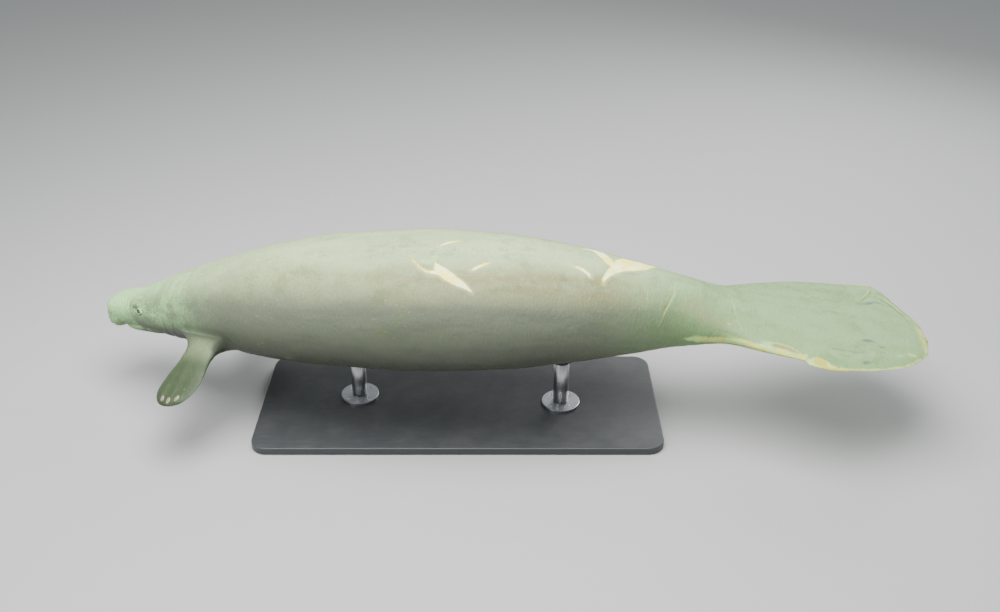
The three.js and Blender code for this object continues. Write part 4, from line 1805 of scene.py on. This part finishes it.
def bevel(mesh: Mesh, edges: list[bmesh.types.BMEdge], offset: float, segments: int) -> None:
    """Rounds edges by an offset in millimetres."""
    how = {"segments": segments, "profile": 0.5, "affect": "EDGES", "material": -1}
    bmesh.ops.bevel(mesh, geom=edges, offset=offset * MM, **how)


# Materials


Value = float | Colour | Socket


class Graph:
    """A shader node tree, built a node at a time."""

    def __init__(self, tree: Tree) -> None:
        """Starts on a tree."""
        self.tree = tree

    def node(
        self, kind: str, inputs: dict[str | int, Value] | None = None, **settings: object
    ) -> bpy.types.Node:
        """Adds a node.

        Args:
            kind: The node's type name without its ShaderNode start.
            inputs: Values or sockets for its inputs, by name or number.
            settings: The node's own properties.

        Returns:
            The new node.
        """
        made = self.tree.nodes.new(f"ShaderNode{kind}")
        for name, value in settings.items():
            setattr(made, name, value)
        for name, value in (inputs or {}).items():
            self.put(made.inputs[name], value)
        return made

    def put(self, socket: Socket, value: Value) -> None:
        """Links a socket to an input or sets the input's value.

        Args:
            socket: The input.
            value: What it gets.
        """
        if isinstance(value, Socket):
            self.tree.links.new(value, socket)
        else:
            socket.default_value = value

    def math(self, operation: str, *values: Value, clamp: bool = False) -> Socket:
        """A Math node's result."""
        made = self.node("Math", dict(enumerate(values)), operation=operation, use_clamp=clamp)
        return made.outputs[0]

    def times(self, a: Value, b: Value) -> Socket:
        """The product of two values."""
        return self.math("MULTIPLY", a, b)

    def plus(self, a: Value, b: Value, clamp: bool = False) -> Socket:
        """The sum of two values."""
        return self.math("ADD", a, b, clamp=clamp)

    def minus(self, a: Value, b: Value) -> Socket:
        """The difference of two values."""
        return self.math("SUBTRACT", a, b)

    def mix(self, share: Value, a: Value, b: Value) -> Socket:
        """Two colours mixed by a share."""
        return self.node("Mix", {0: share, 6: a, 7: b}, data_type="RGBA").outputs[2]

    def step(
        self, value: Value, low: float, high: float, to_low: float = 0.0, to_high: float = 1.0
    ) -> Socket:
        """A value moved smoothly from one span to another."""
        inputs = {0: value, 1: low, 2: high, 3: to_low, 4: to_high}
        return self.node("MapRange", inputs, interpolation_type="SMOOTHSTEP").outputs[0]

    def noise(
        self, vector: Value, scale: Value, detail: float = 4.0, rough: float = 0.55
    ) -> Socket:
        """The value of a noise texture."""
        inputs = {"Vector": vector, "Scale": scale, "Detail": detail, "Roughness": rough}
        return self.node("TexNoise", inputs).outputs["Fac"]

    def mask(self, name: str) -> Socket:
        """One of the piece's own masks."""
        return self.node("Attribute", attribute_name=name).outputs["Fac"]

    def place(self, scale: tuple[float, float, float] = (1, 1, 1)) -> Socket:
        """Object coordinates, stretched."""
        where = self.node("TexCoord").outputs["Object"]
        return self.node("Mapping", {"Vector": where, "Scale": scale}).outputs["Vector"]

    def bump(self, strength: float, distance: float, height: Value) -> Socket:
        """The normal that a height gives, with the height's full rise in metres."""
        return self.node("Bump", {"Strength": strength, "Distance": distance, "Height": height}).outputs[0]

    def use(self, effect: Tree, **inputs: Value) -> Socket:
        """The mask that a shared effect gives.

        Args:
            effect: The effect's group.
            inputs: Values or sockets for its inputs.

        Returns:
            The group's output.
        """
        made = self.tree.nodes.new("ShaderNodeGroup")
        made.node_tree = effect
        for name, value in inputs.items():
            self.put(made.inputs[name], value)
        return made.outputs[0]

    def dress(self, inputs: dict[str, Value]) -> None:
        """Gives the material's Principled BSDF its inputs."""
        for name, value in inputs.items():
            self.put(self.tree.nodes["Principled BSDF"].inputs[name], value)


class Effect(Graph):
    """A shared effect: a node group that makes one mask from a place and some sizes."""

    def __init__(self, name: str, **sizes: float) -> None:
        """Starts the group.

        Args:
            name: The group's name.
            sizes: Its inputs besides the place, with their start values.
        """
        super().__init__(bpy.data.node_groups.new(name, "ShaderNodeTree"))
        face = self.tree.interface
        face.new_socket("Vector", in_out="INPUT", socket_type="NodeSocketVector")
        for label, value in sizes.items():
            face.new_socket(label, in_out="INPUT", socket_type="NodeSocketFloat").default_value = value
        face.new_socket("Mask", in_out="OUTPUT", socket_type="NodeSocketFloat")
        self.into = self.tree.nodes.new("NodeGroupInput").outputs
        self.out = self.tree.nodes.new("NodeGroupOutput").inputs["Mask"]
        self.vector = self.into["Vector"]

    def give(self, mask: Value) -> Tree:
        """Ends the group with its mask."""
        self.put(self.out, mask)
        return self.tree


class Effects:
    """The effects that several finishes share, each built once."""

    def __init__(self) -> None:
        """Builds the groups."""
        self.mottle, self.wrinkles = self.make_mottle(), self.make_wrinkles()
        self.outline, self.dust = self.make_outline(), self.make_dust()

    @staticmethod
    def make_mottle() -> Tree:
        """Soft patches with fine grain in them.

        Returns:
            The group.
        """
        g = Effect("mottle", Scale=5.0, Grain=0.35, Contrast=1.0)
        large = g.noise(g.vector, g.into["Scale"], detail=5.0, rough=0.6)
        small = g.noise(g.vector, g.times(g.into["Scale"], 9.0), detail=3.0)
        both = g.plus(large, g.times(g.minus(small, 0.5), g.into["Grain"]))
        centred = g.times(g.minus(both, 0.5), g.times(g.into["Contrast"], 3.0))
        return g.give(g.plus(centred, 0.5, clamp=True))

    @staticmethod
    def make_wrinkles() -> Tree:
        """A net of fine wrinkles with small cells between them.

        Returns:
            The group.
        """
        g = Effect("wrinkles", Scale=60.0, Warp=0.02)
        size = g.times(g.into["Scale"], 0.35)
        drift = g.node("TexNoise", {"Vector": g.vector, "Scale": size, "Detail": 4.0}).outputs["Color"]
        shift = g.node("VectorMath", {0: drift, 1: (0.5, 0.5, 0.5)}, operation="SUBTRACT").outputs[0]
        scaled = g.node("VectorMath", {0: shift, 3: g.into["Warp"]}, operation="SCALE").outputs[0]
        where = g.node("VectorMath", {0: g.vector, 1: scaled}, operation="ADD").outputs[0]
        cells = g.node("TexVoronoi", {"Vector": where, "Scale": g.into["Scale"]}, feature="DISTANCE_TO_EDGE")
        net = g.step(cells.outputs["Distance"], -0.02, 0.30)
        fine = g.noise(where, g.times(g.into["Scale"], 3.2), detail=3.0, rough=0.65)
        return g.give(g.plus(g.times(net, 0.7), g.times(fine, 0.5)))

    @staticmethod
    def make_outline() -> Tree:
        """A mark from its distance mask, with a frayed edge.

        Returns:
            The group.
        """
        g = Effect("outline", Distance=1.0, Soft=0.15, Fray=0.4, Scale=45.0)
        frayed = g.noise(g.vector, g.into["Scale"], detail=4.0, rough=0.6)
        moved = g.plus(g.into["Distance"], g.times(g.minus(frayed, 0.5), g.into["Fray"]))
        share = g.math("DIVIDE", g.times(moved, -1.0), g.into["Soft"])
        return g.give(g.plus(share, 0.5, clamp=True))

    @staticmethod
    def make_dust() -> Tree:
        """Fine dust on what faces up.

        Returns:
            The group.
        """
        g = Effect("dust", Amount=0.3, Scale=30.0)
        normal = g.node("NewGeometry").outputs["Normal"]
        up = g.step(g.node("SeparateXYZ", {0: normal}).outputs["Z"], 0.5, 1.0)
        patches = g.step(g.noise(g.vector, g.into["Scale"], detail=6.0, rough=0.7), 0.35, 0.75)
        return g.give(g.times(g.times(up, patches), g.into["Amount"]))


class Finish:
    """A finish, which becomes one material."""

    NAME = "finish"

    def material(self, effects: Effects) -> Material:
        """Makes the material and fills it.

        Args:
            effects: The shared effects.

        Returns:
            The material.
        """
        made = bpy.data.materials.new(self.NAME)
        made.use_nodes = True
        self.fill(Graph(made.node_tree), effects)
        return made

    def fill(self, g: Graph, effects: Effects) -> None:
        """Builds the finish's own nodes in a material's graph, with the shared effects."""
        raise NotImplementedError


@dataclass(frozen=True)
class Hide(Finish):
    """The manatee's hide: grey-brown, with scars and a thin film of algae; painted light makes it paler and
    greener above and painted shade makes it darker below.
    """

    NAME = "hide"

    warm: Colour = (0.180, 0.162, 0.050, 1)
    cool: Colour = (0.122, 0.142, 0.094, 1)
    # painted light laid where the skin faces up; also the colour of the pale flecks
    above: Colour = (0.425, 0.550, 0.275, 1)
    # painted shade laid where the skin faces down and in darker streaks on the flanks
    below: Colour = (0.040, 0.048, 0.035, 1)
    paddle: Colour = (0.176, 0.318, 0.112, 1)
    film: Colour = (0.108, 0.155, 0.059, 1)
    limb: Colour = (0.024, 0.044, 0.014, 1)
    muzzle: Colour = (0.400, 0.740, 0.300, 1)
    scar: Colour = (0.920, 0.860, 0.150, 1)
    scar_pale: Colour = (0.960, 0.950, 0.500, 1)
    rim: Colour = (0.600, 0.620, 0.140, 1)
    rim_green: Colour = (0.380, 0.700, 0.260, 1)
    blob: Colour = (0.450, 0.410, 0.036, 1)
    brown: Colour = (0.236, 0.205, 0.099, 1)
    # the colour of the dark patches, mostly along the paddle's creases
    stain: Colour = (0.050, 0.074, 0.058, 1)
    # painted shade in the grooves of the wrinkles
    groove: Colour = (0.053, 0.053, 0.038, 1)

    def fill(self, g: Graph, effects: Effects) -> None:
        """Lays tones, painted light and shade, and marks over each other, from the lowest to the highest, and
        adds the relief.

        Args:
            g: The material's graph.
            effects: The shared effects.
        """
        here, streaked = g.place(), g.place((0.8, 7.0, 7.0))
        broad = g.use(effects.mottle, Vector=here, Scale=3.4, Grain=0.4, Contrast=1.3)
        # stretched streaks: painted light and shade of rippling water, which also vary the warm tint
        ripple_light_streaks = g.use(effects.mottle, Vector=streaked, Scale=2.6, Grain=0.4, Contrast=1.1)
        blotches = g.use(effects.mottle, Vector=here, Scale=16.0, Grain=0.5, Contrast=1.5)
        fine = g.use(effects.wrinkles, Vector=g.place((1.6, 1.0, 1.0)), Scale=165.0, Warp=0.014)
        wide = g.use(effects.wrinkles, Vector=g.place((2.6, 1.0, 1.0)), Scale=34.0, Warp=0.06)
        tone = g.plus(g.times(broad, 0.5), g.times(ripple_light_streaks, 0.5))
        algae = g.times(g.step(blotches, 0.45, 0.95), g.step(broad, 0.35, 0.8, 0.05, 0.3))
        flecks = g.node("TexVoronoi", {"Vector": here, "Scale": 30.0, "Randomness": 1.0}).outputs["Distance"]
        net, lines = g.times(g.step(fine, 0.75, 0.25), 0.14), g.times(g.step(wide, 0.6, 0.2), 0.10)
        patches = g.step(g.noise(here, 42.0, detail=2.0), 0.46, 0.62)
        tissue = g.step(g.noise(here, 26.0, detail=3.0), 0.42, 0.58)

        def mark(kind: Mark, soft: float, fray: float, wider: float = 0.0) -> Value:
            """The mask of one kind of mark, with how soft and how frayed its edge is."""
            away = g.minus(g.mask(kind.value), wider)
            return g.use(effects.outline, Vector=here, Distance=away, Soft=soft, Fray=fray)

        scar = mark(Mark.SCARS, 0.22, 0.5)
        layers = (
            # painted light: paler and greener where the skin faces up
            (g.times(g.mask("high"), g.step(ripple_light_streaks, 0.0, 1.0, 0.78, 1.0)), self.above),
            (g.times(g.mask("warm"), g.step(tone, 0.2, 0.8, 0.4, 0.85)), self.warm),
            # painted shade: darker where the skin faces down
            (g.times(g.mask("low"), 0.94), self.below),
            # painted shade: darker streaks on the flanks, like rippling water
            (g.times(g.mask("flank"), g.step(ripple_light_streaks, 0.75, 0.25, 0.0, 0.22)), self.below),
            # the paddle's paler colour, stronger where it faces up: partly its own colour, partly painted
            # light
            (g.times(g.mask("tail"), g.step(g.mask("high"), 0.0, 0.6, 0.75, 0.88)), self.paddle),
            (g.times(g.mask("limb_mask"), 0.965), self.limb),
            (algae, self.film),
            (g.times(g.mask("head"), g.step(blotches, 0.1, 0.9, 0.3, 0.8)), self.muzzle),
            (g.times(g.mask("muzzle"), g.step(blotches, 0.1, 0.9, 0.75, 0.35)), self.muzzle),
            (g.times(g.step(flecks, 0.14, 0.04), g.step(broad, 0.4, 0.8, 0.0, 0.2)), self.above),
            # painted shade in the grooves of the wrinkles
            (g.plus(net, lines, clamp=True), self.groove),
            (g.times(mark(Mark.TAN, 4.5, 3.0), 0.45), self.brown),
            (g.times(mark(Mark.BROWN, 1.4, 1.6), 0.6), self.brown),
            (g.times(mark(Mark.STAINS, 0.9, 1.0), 0.85), self.stain),
            (g.times(g.mask("edge"), g.step(blotches, 0.2, 0.75, 0.3, 0.9)), self.rim),
            (g.times(mark(Mark.RIM, 1.0, 2.4), g.step(blotches, 0.0, 0.6, 0.7, 0.95)),
             g.mix(patches, self.rim, self.rim_green)),
            (g.times(mark(Mark.MINT, 1.6, 1.2), 0.6), self.rim_green),
            (g.times(mark(Mark.BLOB, 0.8, 0.8), 0.9), self.blob),
            (g.times(mark(Mark.LINES, 0.35, 0.35), 0.42), self.rim),
            (g.times(mark(Mark.SCARS, 1.2, 0.8, wider=0.5), 0.4), self.rim),
            (g.times(scar, 0.95), g.mix(tissue, self.scar, self.scar_pale)),
        )
        colour = self.cool
        for share, over in layers:
            colour = g.mix(share, colour, over)
        calm = g.minus(1.0, g.times(scar, 0.75))
        wrinkled = g.times(g.plus(fine, g.times(wide, 1.3)), calm)
        g.dress({
            "Base Color": colour,
            "Roughness": g.plus(g.step(blotches, 0.0, 1.0, 0.46, 0.62), g.times(algae, 0.2)),
            "Normal": g.bump(0.7, 0.8 * MM, g.plus(wrinkled, g.times(blotches, 0.35))),
            "Coat Weight": 0.12,
            "Coat Roughness": 0.35,
            "Specular IOR Level": 0.36,
        })


@dataclass(frozen=True)
class EyeFinish(Finish):
    """A dark, wet eye with a brown iris that hardly shows."""

    NAME = "wet_eye"

    pupil: Colour = (0.003, 0.003, 0.004, 1)
    iris: Colour = (0.020, 0.012, 0.007, 1)
    white: Colour = (0.014, 0.011, 0.010, 1)

    def fill(self, g: Graph, effects: Effects) -> None:
        """Colours the eye by the angle off its axis.

        Args:
            g: The material's graph.
            effects: The shared effects.
        """
        ring = g.mask("ring")
        rays = g.noise(g.place(), 900.0, detail=2.0)
        iris = g.mix(g.times(rays, 0.6), self.iris, self.pupil)
        inner = g.mix(g.step(ring, 0.2, 0.26), self.pupil, iris)
        film = g.use(effects.mottle, Vector=g.place(), Scale=300.0, Grain=0.3, Contrast=0.6)
        g.dress({
            "Base Color": g.mix(g.step(ring, 0.55, 0.68), inner, self.white),
            "Roughness": g.step(film, 0.0, 1.0, 0.05, 0.14),
            "Coat Weight": 1.0,
            "Coat Roughness": 0.03,
        })


@dataclass(frozen=True)
class Horn(Finish):
    """Pale horn with growth lines, for nails and hair."""

    NAME = "pale_horn"

    light: Colour = (0.300, 0.275, 0.190, 1)
    dark: Colour = (0.150, 0.130, 0.082, 1)

    def fill(self, g: Graph, effects: Effects) -> None:
        """Draws the growth lines.

        Args:
            g: The material's graph.
            effects: The shared effects.
        """
        lines = g.use(effects.mottle, Vector=g.place((1, 0.25, 1)), Scale=160.0, Grain=0.5, Contrast=1.2)
        g.dress({
            "Base Color": g.mix(lines, self.dark, self.light),
            "Roughness": g.step(lines, 0.0, 1.0, 0.42, 0.3),
            "Normal": g.bump(0.4, 0.3 * MM, lines),
        })


@dataclass(frozen=True)
class Paint(Finish):
    """Satin dark grey paint with a little dust."""

    NAME = "stand_paint"

    tone: Colour = (0.035, 0.038, 0.040, 1)
    rubbed: Colour = (0.055, 0.058, 0.058, 1)
    dust: Colour = (0.200, 0.190, 0.170, 1)

    def fill(self, g: Graph, effects: Effects) -> None:
        """Lays paint with a faint grain and dust on it.

        Args:
            g: The material's graph.
            effects: The shared effects.
        """
        grain = g.use(effects.mottle, Vector=g.place((0.4, 3, 3)), Scale=40.0, Grain=0.5, Contrast=1.0)
        dust = g.use(effects.dust, Vector=g.place(), Amount=0.10, Scale=14.0)
        g.dress({
            "Base Color": g.mix(dust, g.mix(g.times(grain, 0.25), self.tone, self.rubbed), self.dust),
            "Roughness": g.step(grain, 0.0, 1.0, 0.38, 0.5),
            "Normal": g.bump(0.25, 0.4 * MM, grain),
        })


@dataclass(frozen=True)
class Steel(Finish):
    """Steel brushed along the rod."""

    NAME = "stand_steel"

    tone: Colour = (0.56, 0.57, 0.58, 1)
    dull: Colour = (0.40, 0.41, 0.42, 1)

    def fill(self, g: Graph, effects: Effects) -> None:
        """Brushes the steel and dusts what faces up.

        Args:
            g: The material's graph.
            effects: The shared effects.
        """
        brushed = g.noise(g.place((60, 60, 1.5)), 12.0, detail=5.0, rough=0.7)
        dust = g.use(effects.dust, Vector=g.place(), Amount=0.25, Scale=60.0)
        g.dress({
            "Base Color": g.mix(brushed, self.dull, self.tone),
            "Roughness": g.plus(g.step(brushed, 0.2, 0.8, 0.22, 0.4), dust),
            "Metallic": 1.0,
            "Normal": g.bump(0.2, 0.2 * MM, brushed),
        })


@dataclass(frozen=True)
class Rubber(Finish):
    """Matt black rubber."""

    NAME = "stand_rubber"

    tone: Colour = (0.016, 0.017, 0.017, 1)
    worn: Colour = (0.040, 0.040, 0.038, 1)

    def fill(self, g: Graph, effects: Effects) -> None:
        """Lays worn patches and dust.

        Args:
            g: The material's graph.
            effects: The shared effects.
        """
        patches = g.use(effects.mottle, Vector=g.place(), Scale=35.0, Grain=0.8, Contrast=1.0)
        dust = g.use(effects.dust, Vector=g.place(), Amount=0.2, Scale=50.0)
        g.dress({
            "Base Color": g.mix(g.plus(g.times(patches, 0.4), dust, clamp=True), self.tone, self.worn),
            "Roughness": g.step(patches, 0.0, 1.0, 0.6, 0.8),
            "Normal": g.bump(0.3, 0.4 * MM, patches),
        })


@dataclass(frozen=True)
class FloorPaper(Finish):
    """The matt pale paper of the studio's floor."""

    NAME = "floor"

    tone: Colour = (0.38, 0.385, 0.375, 1)
    shade: Colour = (0.31, 0.316, 0.31, 1)

    def fill(self, g: Graph, effects: Effects) -> None:
        """Gives the paper its faint cloudiness."""
        cloudy = g.times(g.noise(g.place(), 1.5, detail=3.0), 0.12)
        g.dress({"Base Color": g.mix(cloudy, self.tone, self.shade), "Roughness": 0.9})


# The studio


@dataclass(frozen=True)
class Lamp:
    """One square soft light: its name, place and size in metres, and its power in watts."""

    name: str
    place: tuple[float, float, float]
    size: float
    watts: float


@dataclass
class Studio:
    """The pale floor, the soft light and the camera."""

    target: tuple[float, float, float] = (0.15, 0.0, 0.43)
    distance: float = 3.9
    elevation: float = 30.0
    lens: float = 39.6
    sensor: float = 36.0
    floor_size: float = 40.0
    floor_drop: float = 0.5
    sky: Colour = (0.86, 0.92, 0.95, 1)
    sky_strength: float = 0.55
    lamps: tuple[Lamp, ...] = (
        Lamp("overhead", (-0.3, -0.5, 3.8), 3.4, 465),
        Lamp("front", (-3.4, -3.2, 2.4), 2.0, 72),
        Lamp("rear", (2.6, 3.0, 2.8), 2.2, 112),
    )

    def floor(self, paper: Material) -> Piece:
        """Makes the floor, which isn't part of the object.

        Args:
            paper: Its finish.

        Returns:
            The floor's object.
        """
        mesh = bmesh.new()
        bmesh.ops.create_grid(mesh, x_segments=4, y_segments=4, size=self.floor_size / 2)
        bmesh.ops.translate(mesh, verts=mesh.verts, vec=(0, 0, -self.floor_drop * MM))
        piece = finished("studio_floor", mesh)
        piece.data.materials.append(paper)
        return piece

    def add(self, made: Piece, place_at: Vector, back: Vector) -> None:
        """Adds a camera or a light.

        Args:
            made: Its object.
            place_at: Where it stands.
            back: The way it looks away from.
        """
        made.location = place_at
        made.rotation_euler = back.to_track_quat("Z", "Y").to_euler()
        bpy.context.scene.collection.objects.link(made)

    def camera(self) -> None:
        """Sets the camera in front of the animal's left side and above it."""
        data = bpy.data.cameras.new("camera")
        data.sensor_width, data.lens = self.sensor, self.lens
        camera = bpy.data.objects.new("camera", data)
        tilt = math.radians(self.elevation)
        back = Vector((0, -math.cos(tilt), math.sin(tilt)))
        self.add(camera, Vector(self.target) + back * self.distance, back)
        bpy.context.scene.camera = camera

    def light(self, lamp: Lamp) -> None:
        """Adds one soft light that looks at the object.

        Args:
            lamp: Its place, size and power.
        """
        data = bpy.data.lights.new(lamp.name, "AREA")
        data.shape, data.size, data.energy = "SQUARE", lamp.size, lamp.watts
        place_at = Vector(lamp.place)
        self.add(bpy.data.objects.new(lamp.name, data), place_at, place_at - Vector(self.target))

    def build(self, paper: Material) -> None:
        """Sets up camera, floor, sky and lights.

        Args:
            paper: The floor's finish.
        """
        self.camera()
        self.floor(paper)
        world = bpy.data.worlds.new("studio")
        world.use_nodes = True
        background = world.node_tree.nodes["Background"]
        background.inputs["Color"].default_value = self.sky
        background.inputs["Strength"].default_value = self.sky_strength
        bpy.context.scene.world = world
        for lamp in self.lamps:
            self.light(lamp)


def main() -> None:
    """Builds the classes in order and reports each piece."""
    logging.basicConfig(level=logging.INFO, format="%(message)s")
    effects = Effects()
    Studio().build(FloorPaper().material(effects))
    body = Body(FaceShape(), Markings())
    flippers = {side: Flipper(body, side) for side in Side}
    finishes = (Hide(), Horn(), EyeFinish(), Paint(), Steel(), Rubber())
    hide, horn, eye, paint, steel, rubber = (finish.material(effects) for finish in finishes)

    skin = Skin(body, flippers)
    place(skin.build(), hide, Slot.SKIN, *skin.nodes)
    for side in Side:
        place(Eyes(body).build(side), eye, Slot.EYE, f"eye_{side.word}")
        nails = tuple(f"nail_{side.word}_{k + 1}" for k in range(len(NAILS)))
        place(NailSet(flippers[side]).build(), horn, Slot.HORN, *nails)
    for piece in Coat(body).build():
        place(piece, horn, Slot.HORN)

    stand = Stand(body)
    place(stand.board(), paint, Slot.BOARD, "stand_base")
    for end, at in stand.rods:
        place(stand.foot_plate(end, at), steel, Slot.ROD, f"stand_foot_{end}")
        place(stand.bar(end, at), steel, Slot.ROD, f"stand_rod_{end}")
        place(stand.rest(end, at), rubber, Slot.PAD, f"stand_pad_{end}")


if __name__ == "__main__":
    main()
